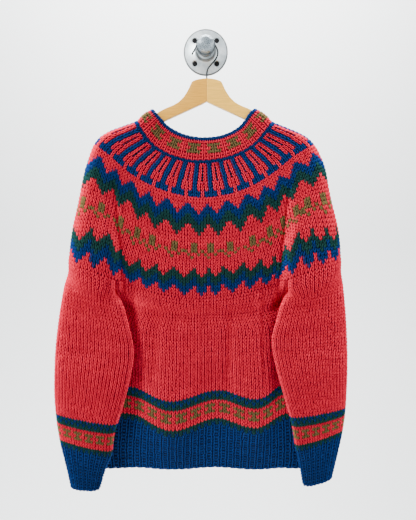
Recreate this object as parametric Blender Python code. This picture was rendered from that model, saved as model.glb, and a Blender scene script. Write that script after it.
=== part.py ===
"""A hand-knit round-yoke pullover on a wooden hanger, hung from a capped pipe fitting.

The pullover is one tube of cloth for the body, two for the sleeves and a round yoke that
joins them, with knitted ribs at the neck, hem and cuffs.  It hangs flat over the wooden
hanger, front and back a few centimetres apart.  The hanger's wire hook lies on a threaded
pipe nipple, which is screwed into a round flange on the wall and closed with a cap.

Frame: the origin is the middle of the flange's flat back, the wall is the plane Y = 0,
-Y points out of the wall, +Z is up.  The tables are in millimetres, and so is the working.
"""
import math

import bmesh
import bpy
import numpy as np

MM = 0.001                    # one millimetre in Blender's metres

# ---- the cloth ----------------------------------------------------------------------
WALL = 4.0                    # thickness of the knitted wall
SEAM = 0.3                    # gap between two pieces where they are joined
RIB_RISE = 1.1                # how far a knit column of a rib stands out
RIB_SINK = 0.5                # how far the purl column beside it lies back

NECK_RIBS = 60                # knit columns all round
HEM_RIBS_PER_COLUMN = 1.5     # 66 knit columns over the body's 44 columns
CUFF_RIBS = 18

# Columns of the solids: what is left of the yoke's ring at each side is a sleeve.
SLEEVE_COLUMNS = 9            # front half of a sleeve, and as many at the back
BODY_COLUMNS = 18             # front of the body, and as many at the back
UNDERARM_COLUMNS = 4
HALF_RING = 2 * SLEEVE_COLUMNS + BODY_COLUMNS

# The yoke's courses in the front view, (x, z), by knitted row from the neck seam to the
# underarm: from the left shoulder's fold across the
# front to the right one: fold, sleeve beside the armpit crease, body beside the crease,
# chest, centre, and the same back out.
COURSES = {
    # row:  fold_l         sleeve_l       side_l         chest_l        centre
    #       chest_r        side_r         sleeve_r       fold_r
    0.0: ((-135, -139), (-121, -163), (-105, -183), (-61, -208), (-4, -216),
          (56, -205), (99, -180), (116, -160), (131, -141)),
    11.0: ((-217, -178), (-190, -199), (-153, -233), (-86, -268), (-5, -283),
           (74, -268), (132, -236), (172, -203), (211, -180)),
    17.0: ((-236, -222), (-197, -240), (-164, -266), (-98, -306), (-2, -322),
           (84, -303), (150, -265), (195, -231), (232, -217)),
    27.0: ((-255, -301), (-206, -312), (-170, -343), (-108, -378), (-4, -394),
           (88, -382), (158, -341), (197, -305), (250, -293)),
    33.5: ((-267, -352), (-192, -361), (-168, -400), (-104, -424), (-8, -433),
           (80, -421), (152, -403), (176, -364), (265, -350)),
    43.0: ((-277, -417), (-197, -445), (-168, -462), (-100, -484), (-8, -495),
           (78, -483), (151, -461), (180, -444), (273, -415)),
}
# Depth of the same courses: the fold's own, the sleeve's front, the body's front, the
# back, how far in from the fold the cloth is still turning, and how much farther out the
# armpit crease lies at the back.
DEPTHS = {
    # row:   fold_y, sleeve_y, body_y, back_y, turn, back_out
    0.0: (-27.0, -43.0, -43.0, -11.0, 14.0, 0.0),
    11.0: (-27.5, -50.0, -50.0, -9.0, 19.0, 0.0),
    17.0: (-33.0, -59.0, -55.0, -8.0, 24.0, 4.0),
    27.0: (-40.0, -70.0, -58.0, -8.0, 28.0, 10.0),
    33.5: (-44.0, -77.0, -60.0, -9.0, 32.0, 18.0),
    43.0: (-48.0, -81.0, -57.0, -12.0, 34.0, 24.0),
}
# The neck's free edge, above the yoke: the same positions and depths.
NECK_EDGE = ((-105, -117), (-92, -132), (-77, -148), (-36, -168), (0, -172),
             (31, -168), (73, -145), (86, -127), (97, -116))
NECK_EDGE_DEPTH = (-27.0, -38.5, -38.5, -14.5, 11.0, 0.0)
NECK_BULGE = 3.0              # the band stands out between its two edges

YOKE_SOLID_ROWS = (0, 4.5, 9, 13.5, 18, 23, 28, 33, 38, 43)

# The underarm line, from the front crease to the back one: outward, depth, height.
UNDERARM = ((6.0, -47.0, -4.0), (12.0, -35.0, -5.0), (17.0, -24.0, -4.0))
CROTCH = 2.6                  # half the distance between body and sleeve at that line
CORNER = 4.0                  # and at its two ends, along the yoke's edge
CORNER_DROP = 1.6             # the little hole at the armpit
STRAIGHT = 14.0               # below the seam the cloth first hangs straight
STRAIGHT_SHARE = 0.035

# Sections of the body below the underarm: left and right side fold, heights at the sides
# and centre, depths as above, and how much of the folds above the hem it takes.
BODY_SECTIONS = (
    # share, left_x, right_x, side_z, mid_z, fold_y, side_y, mid_y, back_y, turn, waves
    (0.11, -190, 175, -502, -528, -20, -28, -58, -11, 14, 0.05),
    (0.24, -204, 191, -533, -560, -28, -43, -60, -10, 20, 0.12),
    (0.45, -212, 199, -600, -618, -27, -44, -61, -9, 20, 0.35),
    (0.75, -221, 208, -686, -694, -26, -45, -60, -8, 19, 0.85),
    (1.00, -227, 211, -768, -785, -25, -45, -57, -8, 18, 1.00),
)
HEM_SECTIONS = (
    (1.50, -233, 215, -836, -839, -24, -42, -50, -9, 16, 0.45),
    (2.00, -234, 215, -886, -880, -23, -39, -45, -10, 15, 0.15),
)
# The folds above the hem: where a crest lies back and high and a hollow comes forward
# and low, as x and a share of the full rise.
HEM_WAVES = ((-230, 0.1), (-160, 1.0), (-78, -1.0), (26, 0.9), (113, -0.8), (172, 0.8),
             (215, 0.3))
WAVE_RISE = 9.0
WAVE_DEPTH = 13.0
BODY_SOLID_SHARES = (0.0, 0.035, 0.07, 0.11, 0.17, 0.24, 0.33, 0.42, 0.51, 0.6, 0.69, 0.77, 0.85,
                     0.93, 1.0)

# Sections of the sleeves: the outer and inner fold (x, z), the depth of the sleeve's
# middle, half its thickness, and how much farther back its outer fold lies.
SLEEVE_SECTIONS = {
    "left": (
        # share, outer_x, outer_z, inner_x, inner_z, mid_y, half_y, lean
        (0.13, -288, -472, -172, -503, -62, 16, 10),
        (0.24, -297, -524, -158, -552, -69, 15, 8),
        (0.38, -307, -588, -150, -604, -71, 14, 6),
        (0.52, -313, -647, -158, -656, -71, 14, 6),
        (0.66, -316, -703, -175, -720, -70, 14, 5),
        (0.80, -314, -752, -194, -778, -69, 14, 4),
        (1.00, -309, -807, -203, -835, -67, 13, 3),
    ),
    "right": (
        (0.13, 279, -470, 158, -498, -62, 16, 10),
        (0.24, 283, -515, 146, -536, -69, 15, 8),
        (0.38, 288, -572, 137, -580, -71, 14, 6),
        (0.52, 292, -634, 146, -632, -71, 14, 6),
        (0.66, 293, -690, 164, -695, -70, 14, 5),
        (0.80, 292, -733, 182, -758, -69, 14, 4),
        (1.00, 288, -785, 194, -822, -67, 13, 3),
    ),
}
CUFF_SECTIONS = {
    "left": ((1.50, -299, -862, -221, -877, -65, 12, 2), (2.00, -292, -911, -233, -915, -63, 11, 2)),
    "right": ((1.50, 278, -846, 205, -867, -65, 12, 2), (2.00, 271, -889, 213, -906, -63, 11, 2)),
}
SLEEVE_SOLID_SHARES = (0.0, 0.035, 0.07, 0.11, 0.17, 0.24, 0.31, 0.38, 0.46, 0.54, 0.62, 0.7,
                       0.78, 0.86, 0.93, 1.0)
SLEEVE_FOLDS = ((0.16, 2.5), (0.33, -2.0), (0.49, 2.2), (0.64, -1.8), (0.81, 1.6))
OVAL_POWER = 0.78             # below 1 the section is flatter than an ellipse

# ---- the hanger ---------------------------------------------------------------------
HANGER_X = 2.0                # its middle
HANGER_Y = -27.0
HANGER_THICK = 12.0
HANGER_ROUND = 2.5            # rounding of the wood's long edges
# Upper and lower edge of an arm as (distance from the middle, z).
HANGER_TOP = ((0, -57.5), (15, -59), (27, -62.5), (31, -67.5), (35, -76), (41, -86),
              (51, -98), (64, -107), (80, -113.5), (96, -121.5), (108, -131), (124, -143.5))
HANGER_UNDER = ((0, -101), (50, -123), (100, -145), (150, -170), (198, -188))
HANGER_REST = (140, 154, 170, 186)   # where the shoulders' folds rest on it
HANGER_REST_GAP = 1.0         # from the fold's inner side down to the wood
HANGER_REACH = 198.0
HANGER_NOSE = 9.0             # length of the rounded end
WIRE = 3.0
WIRE_DEEP = 16.0              # how far the hook's wire goes into the wood
HOOK_LINE = ((-27, -12), (-22.5, -4.5), (-19.2, 2.5), (-12.5, 10.5), (0, 15.2), (13, 10.8),
             (20.5, 2.0), (23.8, -8), (21.5, -17), (14.5, -26.5), (6.5, -35), (2.8, -43),
             (2, -52), (2, -62), (2, -73.2))

# ---- the wall fitting ---------------------------------------------------------------
FLANGE_RADIUS = 44.5
FLANGE_EDGE = 4.5             # thickness at the rim
FLANGE_DISH = 7.0             # thickness beside the hub
FLANGE_FLOOR = 3.0            # what closes the flange behind the pipe
HUB_RADIUS = 20.0
HUB_FRONT = 20.0
PIPE_RADIUS = 13.4
PIPE_BORE = 10.5
PIPE_END = 48.0
THREAD_PITCH = 2.4
THREAD_DEPTH = 0.7
CAP_BACK = 35.0
CAP_BAND = 43.0
CAP_FRONT = 57.0
CAP_RADIUS = 18.5
HOLE_CIRCLE = 31.0            # the screws' circle
HOLE_RADIUS = 3.4
SINK_RADIUS = 6.0
FIT = 0.3                     # clearance of pieces that touch
ROUND_SIDES = 28


def remove_everything():
    for thing in list(bpy.data.objects):
        bpy.data.objects.remove(thing, do_unlink=True)


def finish(name, colour, roughness, metallic=0.0):
    """A plain Principled material of one colour."""
    material = bpy.data.materials.new(name)
    material.use_nodes = True
    shader = material.node_tree.nodes["Principled BSDF"]
    shader.inputs["Base Color"].default_value = (*colour, 1.0)
    shader.inputs["Roughness"].default_value = roughness
    shader.inputs["Metallic"].default_value = metallic
    return material


# ---- curves -------------------------------------------------------------------------
def through(knots, values, wanted):
    """Smooth curve through values at rising knots, read at the wanted places."""
    knots = np.asarray(knots, float)
    values = np.asarray(values, float)
    wanted = np.clip(np.asarray(wanted, float), knots[0], knots[-1])
    step = np.diff(knots)
    slope = np.diff(values, axis=0) / step.reshape((-1,) + (1,) * (values.ndim - 1))
    tangent = np.empty_like(values)
    tangent[0], tangent[-1] = slope[0], slope[-1]
    for k in range(1, len(knots) - 1):
        before, after = step[k - 1], step[k]
        tangent[k] = (slope[k - 1] * after + slope[k] * before) / (before + after)
    span = np.clip(np.searchsorted(knots, wanted, side="right") - 1, 0, len(step) - 1)
    t = (wanted - knots[span]) / step[span]
    shape = t.shape + (1,) * (values.ndim - 1)
    t, h = t.reshape(shape), step[span].reshape(shape)
    return ((2 * t**3 - 3 * t**2 + 1) * values[span] + (t**3 - 2 * t**2 + t) * h * tangent[span]
            + (3 * t**2 - 2 * t**3) * values[span + 1] + (t**3 - t**2) * h * tangent[span + 1])


def lengths_along(points):
    """Distance of each point from the first, along the line of points."""
    return np.concatenate(([0.0], np.cumsum(np.linalg.norm(np.diff(points, axis=0), axis=1))))


def points_at(points, distances):
    """Points of a polyline at the given distances along it."""
    along = lengths_along(points)
    return np.stack([np.interp(distances, along, points[:, axis]) for axis in range(3)], axis=1)


def smoothed(points, count):
    """A smooth line of count points through a few 3-D points."""
    points = np.asarray(points, float)
    along = lengths_along(points)
    return through(along, points, np.linspace(0, along[-1], count))


# ---- the yoke's rings ---------------------------------------------------------------
def course(row):
    """The 9 positions and 6 depths of the yoke's course at a row."""
    rows = sorted(COURSES)
    spots = through(rows, [COURSES[r] for r in rows], [row])[0]
    depths = through(rows, [DEPTHS[r] for r in rows], [row])[0]
    return spots, depths


def half_ring(spots, depths, at_back):
    """Dense line from the left fold to the right one over the front or the back.

    Returns the line and the distances of the two armpit creases along it.
    """
    fold_y, sleeve_y, body_y, back_y, turn, back_out = depths
    layer = np.array([sleeve_y, sleeve_y, body_y + 3, body_y, body_y,
                      body_y, body_y + 3, sleeve_y, sleeve_y])
    outward = np.zeros(9)
    if at_back:
        layer = np.full(9, back_y)
        outward = np.array([0, -1, -1, -0.5, 0, 0.5, 1, 1, 0]) * back_out
    flat = np.stack([np.array(spots)[:, 0] + outward, np.array(spots)[:, 1]], axis=1)
    knots = np.concatenate(([0.0], np.cumsum(np.linalg.norm(np.diff(flat, axis=0), axis=1))))
    total = knots[-1]
    turning = turn * (1 - np.cos(np.linspace(0, math.pi / 2, 12)))
    places = np.concatenate((turning, np.linspace(turn, total - turn, 110)[1:-1],
                             total - turning[::-1]))
    line = through(knots, np.column_stack((flat[:, 0], layer, flat[:, 1])), places)
    inset = np.minimum(places, total - places)
    turned = np.sqrt(np.clip(1 - np.clip(1 - inset / turn, 0, 1) ** 2, 0, 1))
    line[:, 1] = fold_y + (line[:, 1] - fold_y) * turned
    along = lengths_along(line)
    creases = np.interp(((knots[1] + knots[2]) / 2, (knots[6] + knots[7]) / 2), places, along)
    return line, creases


def half_columns(line, creases, crease_share):
    """37 points of a half ring: sleeve, body and sleeve columns.

    crease_share is 1 where the columns meet the armpit creases, and 0 where they are even.
    """
    total = lengths_along(line)[-1]
    even = total * SLEEVE_COLUMNS / HALF_RING
    left = even + (creases[0] - even) * crease_share
    right = (total - even) + (creases[1] - (total - even)) * crease_share
    first, second = 7.0, 15.5        # close columns where the cloth turns over a fold
    left_part = np.concatenate(([0, first], np.linspace(second, left, SLEEVE_COLUMNS - 1)))
    right_part = np.concatenate((np.linspace(right, total - second, SLEEVE_COLUMNS - 1),
                                 [total - first, total]))
    middle = np.linspace(left, right, BODY_COLUMNS + 1)[1:-1]
    return points_at(line, np.concatenate((left_part, middle, right_part)))


def yoke_ring(row):
    """One closed ring of the yoke: 36 columns over the front, 36 back over the back."""
    spots, depths = course(row)
    share = min(1.0, (row / 33.0) ** 1.5)
    front = half_columns(*half_ring(spots, depths, False), share)
    back = half_columns(*half_ring(spots, depths, True), share)
    return np.concatenate((front, back[-2:0:-1]))


# ---- the body's and sleeves' sections -----------------------------------------------
def wave_at(x):
    knots = [knot for knot, rise in HEM_WAVES]
    rises = [rise for knot, rise in HEM_WAVES]
    return through(knots, rises, x)


def body_half(section, at_back):
    """Front or back of a body section, from the left side fold to the right one."""
    share, left, right, side_z, mid_z, fold_y, side_y, mid_y, back_y, turn, waves = section
    places = np.concatenate((turn * (1 - np.cos(np.linspace(0, math.pi / 2, 10))),
                             np.linspace(turn, right - left - turn, 120)[1:-1],
                             right - left - turn * (1 - np.cos(np.linspace(math.pi / 2, 0, 10)))))
    x = left + places
    across = np.abs(2 * places / (right - left) - 1)
    inset = np.minimum(places, right - left - places)
    turned = np.sqrt(np.clip(1 - np.clip(1 - inset / turn, 0, 1) ** 2, 0, 1))
    wave = wave_at(x) * waves
    z = mid_z + (side_z - mid_z) * across**2.2 + WAVE_RISE * wave
    if at_back:
        layer = np.full_like(x, back_y) - 1.5 * wave
        z = mid_z + (side_z - mid_z) * across**2.2
        z = z + WAVE_RISE * wave * np.clip(1 - inset / 40.0, 0, 1)
    else:
        layer = side_y + (mid_y - side_y) * (1 - across**3) + WAVE_DEPTH * wave * (1 - across**6)
    return np.column_stack((x, fold_y + (layer - fold_y) * turned, z))


def body_section(section):
    """44 columns: front, right underarm, back, left underarm."""
    front = body_half(section, False)
    back = body_half(section, True)[::-1]
    edge = 2 * SEAM + 21.0             # half an underarm, along the front and the back
    over = lengths_along(front)[-1]
    under = lengths_along(back)[-1]
    half = UNDERARM_COLUMNS // 2
    front_part = points_at(front, np.linspace(edge, over - edge, BODY_COLUMNS + 1))
    right_front = points_at(front, np.linspace(over - edge, over, half + 1)[1:])
    right_back = points_at(back, np.linspace(0, edge, half + 1)[1:-1])
    back_part = points_at(back, np.linspace(edge, under - edge, BODY_COLUMNS + 1))
    left_back = points_at(back, np.linspace(under - edge, under, half + 1)[1:])
    left_front = points_at(front, np.linspace(0, edge, half + 1)[1:-1])
    return np.concatenate((front_part, right_front, right_back, back_part, left_back, left_front))


def sleeve_section(section, columns):
    """A flattened oval, from beside the inner fold over the front to the outer fold."""
    share, outer_x, outer_z, inner_x, inner_z, mid_y, half_y, lean = section
    start = UNDERARM_COLUMNS / 2 / (2 * SLEEVE_COLUMNS + UNDERARM_COLUMNS)
    angle = np.linspace(0, 2 * math.pi, 241)
    wide = np.sign(np.cos(angle)) * np.abs(np.cos(angle)) ** OVAL_POWER
    deep = np.sign(np.sin(angle)) * np.abs(np.sin(angle)) ** OVAL_POWER
    out = (1 - wide) / 2               # 0 at the inner fold, 1 at the outer one
    line = np.column_stack((inner_x + (outer_x - inner_x) * out,
                            mid_y + lean * (out - 0.3) - half_y * deep,
                            inner_z + (outer_z - inner_z) * out))
    total = lengths_along(line)[-1]
    places = (start + np.arange(columns) / columns) % 1.0
    return points_at(line, places * total)


def loft(first_ring, sections, shares, knots):
    """Rings at the wanted shares, through a first ring and the sections' rings."""
    rings = np.array([first_ring] + list(sections))
    return through(knots, rings, shares)


def hanging_loft(first_ring, sections, shares, knots):
    """The same for a piece that first hangs straight down from its seam."""
    below = first_ring + np.array((0.0, 0.0, -STRAIGHT))
    return loft(first_ring, [below] + list(sections), shares, [0.0, STRAIGHT_SHARE] + knots)


# ---- walls --------------------------------------------------------------------------
def normals_of(grid):
    """Outward unit normals of a tube's grid, rings running down and columns round."""
    along_ring = np.roll(grid, -1, axis=1) - np.roll(grid, 1, axis=1)
    down = np.gradient(grid, axis=0)
    normal = np.cross(along_ring, down)
    return normal / np.linalg.norm(normal, axis=2, keepdims=True)


def outward(grid):
    """Normals that point away from the tube's inside."""
    normal = normals_of(grid)
    middle = grid.mean(axis=1, keepdims=True)
    if ((grid - middle) * normal).sum() < 0:
        normal = -normal
    return normal


def mitre(grid):
    """How much farther a wall's corner lies than its faces, round each ring."""
    before = grid - np.roll(grid, 1, axis=1)
    after = np.roll(grid, -1, axis=1) - grid
    before /= np.linalg.norm(before, axis=2, keepdims=True)
    after /= np.linalg.norm(after, axis=2, keepdims=True)
    cosine = np.clip((before * after).sum(axis=2), -1, 1)
    return np.clip(1 / np.sqrt((1 + cosine) / 2), 1, 1.35)[..., None]


def half_walls(grid):
    """From each point of a grid to the outer skin: half the wall, more at a corner."""
    return outward(grid) * mitre(grid) * WALL / 2


def cloth(name, grid, half_wall, material, raised=None):
    """A closed wall round a grid: outer skin, inner skin and the two rims."""
    outer = half_wall if raised is None else half_wall * (1 + raised / (WALL / 2))
    skins = (grid + outer, grid - half_wall)
    rings, columns = grid.shape[:2]
    size = rings * columns
    points = np.concatenate([skin.reshape(-1, 3) for skin in skins]) * MM
    faces = []
    for k in range(columns):
        following = (k + 1) % columns
        for ring in range(rings - 1):
            a, b = ring * columns + k, ring * columns + following
            c, d = a + columns, b + columns
            faces += [(a, b, d), (a, d, c)]
            faces += [(size + a, size + d, size + b), (size + a, size + c, size + d)]
        a, b = k, following
        faces += [(a, size + a, size + b), (a, size + b, b)]
        a, b = (rings - 1) * columns + k, (rings - 1) * columns + following
        faces += [(a, b, size + b), (a, size + b, size + a)]
    mesh = bpy.data.meshes.new(name)
    mesh.from_pydata(points.tolist(), [], faces)
    piece = bpy.data.objects.new(name, mesh)
    bpy.context.scene.collection.objects.link(piece)
    point_outwards(mesh)
    mesh.shade_smooth()
    mesh.set_sharp_from_angle(angle=math.radians(50))
    mesh.materials.append(material)
    return piece


def point_outwards(mesh):
    """Turn a closed mesh's faces outwards."""
    work = bmesh.new()
    work.from_mesh(mesh)
    if work.calc_volume(signed=True) < 0:
        bmesh.ops.reverse_faces(work, faces=work.faces)
    work.to_mesh(mesh)
    work.free()


def pull(grid, first, last):
    """Draw a piece's first and last ring back along its rows, to leave the seam's gap."""
    grid = grid.copy()
    if first:
        down = grid[1] - grid[0]
        grid[0] += down / np.linalg.norm(down, axis=1, keepdims=True) * first
    if last:
        up = grid[-2] - grid[-1]
        grid[-1] += up / np.linalg.norm(up, axis=1, keepdims=True) * last
    return grid


def between(ring, pieces):
    """Split each side of a ring's polygon into equal pieces."""
    following = np.roll(ring, -1, axis=0)
    parts = [ring + (following - ring) * k / pieces for k in range(pieces)]
    return np.stack(parts, axis=1).reshape(-1, ring.shape[1])


def unit(vectors):
    return vectors / np.linalg.norm(vectors, axis=-1, keepdims=True)


def rib_lift(rings, columns):
    """Knit columns out and purl columns in, all round a rib."""
    lift = np.where(np.arange(columns) % 2 == 0, RIB_RISE, -RIB_SINK)
    return np.tile(lift, (rings, 1))[..., None]


# ---- the pieces of the pullover -----------------------------------------------------
def underarm_line(front, back, side):
    """The three points between the front crease and the back one."""
    points = []
    for k, (out, depth, drop) in enumerate(UNDERARM):
        share = (k + 1) / UNDERARM_COLUMNS
        base = front + (back - front) * share
        points.append((front[0] + side * out, depth, base[2] + drop))
    return np.array(points)


def shifted(points, side, amount):
    """Points moved in X, outward for a positive amount."""
    moved = np.array(points, float)
    moved[..., 0] += side * amount
    return moved


FRONT_CREASES = (SLEEVE_COLUMNS, SLEEVE_COLUMNS + BODY_COLUMNS)
BACK_CREASES = (HALF_RING + SLEEVE_COLUMNS, HALF_RING + SLEEVE_COLUMNS + BODY_COLUMNS)
BODY_FROM_YOKE = (list(range(FRONT_CREASES[0], FRONT_CREASES[1] + 1)),
                  list(range(BACK_CREASES[0], BACK_CREASES[1] + 1)))
SLEEVE_FROM_YOKE = {
    "left": (list(range(FRONT_CREASES[0], -1, -1))
             + list(range(2 * HALF_RING - 1, BACK_CREASES[1] - 1, -1))),
    "right": list(range(FRONT_CREASES[1], BACK_CREASES[0] + 1)),
}


def aside(part, end, neighbour, amount):
    """Move an end point of a part of a ring towards its neighbour."""
    way = part[neighbour] - part[end]
    part[end] += way / np.linalg.norm(way) * amount
    part[end][2] -= CORNER_DROP


def body_first_ring(ring):
    """The body's first ring: the yoke's columns, and the underarm line at each side."""
    front, back = (ring[columns].copy() for columns in BODY_FROM_YOKE)
    left_line = underarm_line(front[0], back[-1], -1)
    right_line = underarm_line(front[-1], back[0], 1)
    for part in (front, back):
        aside(part, 0, 1, CORNER)
        aside(part, -1, -2, CORNER)
    return np.concatenate((front, shifted(right_line, 1, -CROTCH), back,
                           shifted(left_line[::-1], -1, -CROTCH)))


def sleeve_first_ring(ring, side):
    """A sleeve's first ring: from the front crease round to the back one and back."""
    out = -1 if side == "left" else 1
    part = ring[SLEEVE_FROM_YOKE[side]].copy()
    line = underarm_line(part[0], part[-1], out)
    line = line[::-1]
    aside(part, 0, 1, CORNER)
    aside(part, -1, -2, CORNER)
    return np.concatenate((part, shifted(line, out, CROTCH)))


def level(vectors, along):
    """Vectors with what points along the rows taken out, their length kept."""
    flat = vectors - (vectors * along).sum(axis=1, keepdims=True) * along
    return unit(flat) * np.linalg.norm(vectors, axis=1, keepdims=True)


def build_garment():
    yarn = finish("wool_crimson", (0.55, 0.035, 0.07), 0.95)
    blue = finish("wool_blue", (0.01, 0.08, 0.26), 0.95)

    yoke = np.array([yoke_ring(row) for row in YOKE_SOLID_ROWS])
    body = hanging_loft(body_first_ring(yoke[-1]), [body_section(s) for s in BODY_SECTIONS],
                        BODY_SOLID_SHARES, [section[0] for section in BODY_SECTIONS])
    sleeves = {}
    for side, sections in SLEEVE_SECTIONS.items():
        first = sleeve_first_ring(yoke[-1], side)
        sleeves[side] = hanging_loft(first, [sleeve_section(s, len(first)) for s in sections],
                                     SLEEVE_SOLID_SHARES, [section[0] for section in sections])

    # Where pieces meet, their rims stand on one common direction and stay parallel.
    yoke_wall, body_wall = half_walls(yoke), half_walls(body)
    sleeve_walls = {side: half_walls(rings) for side, rings in sleeves.items()}
    down = yoke[-1] - yoke[-2]
    shares = yoke_wall[-1].copy()
    body_columns = BODY_FROM_YOKE[0] + BODY_FROM_YOKE[1]
    body_places = (list(range(BODY_COLUMNS + 1))
                   + list(range(BODY_COLUMNS + UNDERARM_COLUMNS,
                                2 * BODY_COLUMNS + UNDERARM_COLUMNS + 1)))
    down[body_columns] += (body[1] - body[0])[body_places]
    shares[body_columns] += body_wall[0][body_places]
    for side, columns in SLEEVE_FROM_YOKE.items():
        down[columns] += (sleeves[side][1] - sleeves[side][0])[:len(columns)]
        shares[columns] += sleeve_walls[side][0][:len(columns)]
    down = unit(down)
    common = level(unit(shares) * np.linalg.norm(yoke_wall[-1], axis=1, keepdims=True), down)
    creases = FRONT_CREASES + BACK_CREASES
    yoke_wall[-1] = common
    for place, column in zip(body_places, body_columns):
        own = level(body_wall[0][place][None], down[column][None])[0]
        body_wall[0][place] = own if column in creases else common[column]
    for side, columns in SLEEVE_FROM_YOKE.items():
        for place, column in enumerate(columns):
            own = level(sleeve_walls[side][0][place][None], down[column][None])[0]
            sleeve_walls[side][0][place] = own if column in creases else common[column]

    build_neckband(yoke[0], yoke_wall[0], yarn)
    cloth("yoke", pull(yoke, SEAM / 2, SEAM / 2), yoke_wall, yarn)
    build_hem(body, body_wall, blue)
    cloth("body", pull(body, SEAM / 2, SEAM / 2), body_wall, yarn)
    for side in ("left", "right"):
        build_sleeve(side, sleeves[side], sleeve_walls[side], yarn, blue)
    return yoke


def build_hem(body, body_wall, blue):
    """The hem rib, whose first ring follows the body's last one."""
    knots = [1.0] + [section[0] for section in HEM_SECTIONS]
    hem = loft(body[-1], [body_section(s) for s in HEM_SECTIONS], (1.0, 1.4, 2.0), knots)
    wall = half_walls(hem)
    wall[0] = body_wall[-1] = unit(body_wall[-1] + wall[0]) * WALL / 2
    pieces = int(2 * HEM_RIBS_PER_COLUMN)
    hem = np.array([between(ring, pieces) for ring in pull(hem, SEAM / 2, 0)])
    wall = np.array([between(ring, pieces) for ring in wall])
    cloth("hem_rib", hem, wall, blue, rib_lift(*hem.shape[:2]))


def build_sleeve(side, rings, wall, yarn, blue):
    """A sleeve with its soft cross folds, and its cuff."""
    shares = [0.0] + [share for share, swell in SLEEVE_FOLDS] + [1.0]
    swells = [0.0] + [swell for share, swell in SLEEVE_FOLDS] + [0.0]
    swell = through(shares, swells, SLEEVE_SOLID_SHARES)
    rings = rings.copy()
    rings[:, 2:SLEEVE_COLUMNS, 1] -= swell[:, None]

    around = 2 * CUFF_RIBS
    sections = (SLEEVE_SECTIONS[side][-1],) + CUFF_SECTIONS[side]
    cuff = np.array([sleeve_section(s, around) for s in sections])
    cuff_wall = half_walls(cuff)
    outer_x, outer_z, inner_x, inner_z = sections[0][1:5]
    across = unit(np.array(((outer_x - inner_x, 0.0, outer_z - inner_z),)))
    down = np.cross(across, (0.0, 1.0, 0.0))
    down *= -np.sign(down[0, 2])
    wall[-1], cuff_wall[0] = level(wall[-1], down), level(cuff_wall[0], down)
    cuff, rings = cuff.copy(), pull(rings, SEAM / 2, 0)
    rings[-1] -= down * SEAM / 2
    cuff[0] += down * SEAM / 2
    cloth("sleeve_" + side, rings, wall, yarn)
    cloth("cuff_" + side, cuff, cuff_wall, blue, rib_lift(len(cuff), around))


def build_neckband(seam, seam_wall, yarn):
    """The neck rib: from the yoke's first ring up to the free edge."""
    half = NECK_RIBS
    low, low_wall = [], []
    for start in (0, HALF_RING):
        columns = np.arange(start, start + HALF_RING + 1) % (2 * HALF_RING)
        along = lengths_along(seam[columns])
        wanted = np.linspace(0, along[-1], half + 1)[:-1]
        for result, values in ((low, seam), (low_wall, seam_wall)):
            result.append(np.stack([np.interp(wanted, along, values[columns, axis])
                                    for axis in range(3)], axis=1))
    low, low_wall = np.concatenate(low), np.concatenate(low_wall)
    edges = []
    for at_back in (False, True):
        line, _ = half_ring(NECK_EDGE, NECK_EDGE_DEPTH, at_back)
        points = points_at(line, np.linspace(0, lengths_along(line)[-1], half + 1))
        edges.append((points[::-1] if at_back else points)[:-1])
    high = np.concatenate(edges)
    grid = np.array([high, (high + low) / 2, low])
    grid[1] += outward(grid)[1] * NECK_BULGE
    wall = half_walls(grid)
    wall[2] = low_wall
    cloth("neckband", pull(grid, 0, SEAM / 2), wall, yarn, rib_lift(3, 2 * half))


# ---- hard pieces --------------------------------------------------------------------
def mesh_piece(name, points, faces, material, smooth_angle=40):
    mesh = bpy.data.meshes.new(name)
    mesh.from_pydata((np.asarray(points, float) * MM).tolist(), [], faces)
    piece = bpy.data.objects.new(name, mesh)
    bpy.context.scene.collection.objects.link(piece)
    point_outwards(mesh)
    mesh.shade_smooth()
    mesh.set_sharp_from_angle(angle=math.radians(smooth_angle))
    mesh.materials.append(material)
    return piece


def turned(name, profile, material, sides=ROUND_SIDES, centre=(0.0, 0.0)):
    """A profile (radius, distance from the wall) turned about an axis along Y.

    A radius of 0 is a point on the axis.
    """
    points, rings = [], []
    for radius, out in profile:
        if radius == 0:
            rings.append([len(points)])
            points.append((centre[0], -out, centre[1]))
            continue
        rings.append(list(range(len(points), len(points) + sides)))
        for k in range(sides):
            angle = 2 * math.pi * (k + 0.5) / sides
            points.append((centre[0] + radius * math.cos(angle), -out,
                           centre[1] + radius * math.sin(angle)))
    faces = []
    closed = profile[0][0] != 0
    pairs = list(zip(rings, rings[1:] + rings[:1] if closed else rings[1:]))
    for one, two in pairs:
        for k in range(sides):
            after = (k + 1) % sides
            if len(one) == 1:
                faces.append((one[0], two[k], two[after]))
            elif len(two) == 1:
                faces.append((one[k], two[0], one[after]))
            else:
                faces.append((one[k], two[k], two[after], one[after]))
    return mesh_piece(name, points, faces, material)


def cut(piece, cutter):
    """Take the cutter's shape out of a piece."""
    cutter.hide_render = True
    cutter.display_type = "WIRE"
    modifier = piece.modifiers.new("cut", "BOOLEAN")
    modifier.operation = "DIFFERENCE"
    modifier.object = cutter


def rounded_section(reach, side, top, under, deep):
    """One section across an arm: a rectangle with rounded corners, at a reach."""
    corner = min(HANGER_ROUND, (top - under) / 3, deep / 3)
    middle, tall = (top + under) / 2, (top - under) / 2
    points = []
    for quarter, (toward_y, toward_z) in enumerate(((1, 1), (-1, 1), (-1, -1), (1, -1))):
        for step in (0, 45, 90):
            angle = math.radians(90 * quarter + step)
            points.append((HANGER_X + side * reach,
                           HANGER_Y + toward_y * (deep / 2 - corner) + corner * math.cos(angle),
                           middle + toward_z * (tall - corner) + corner * math.sin(angle)))
    return points


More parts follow.
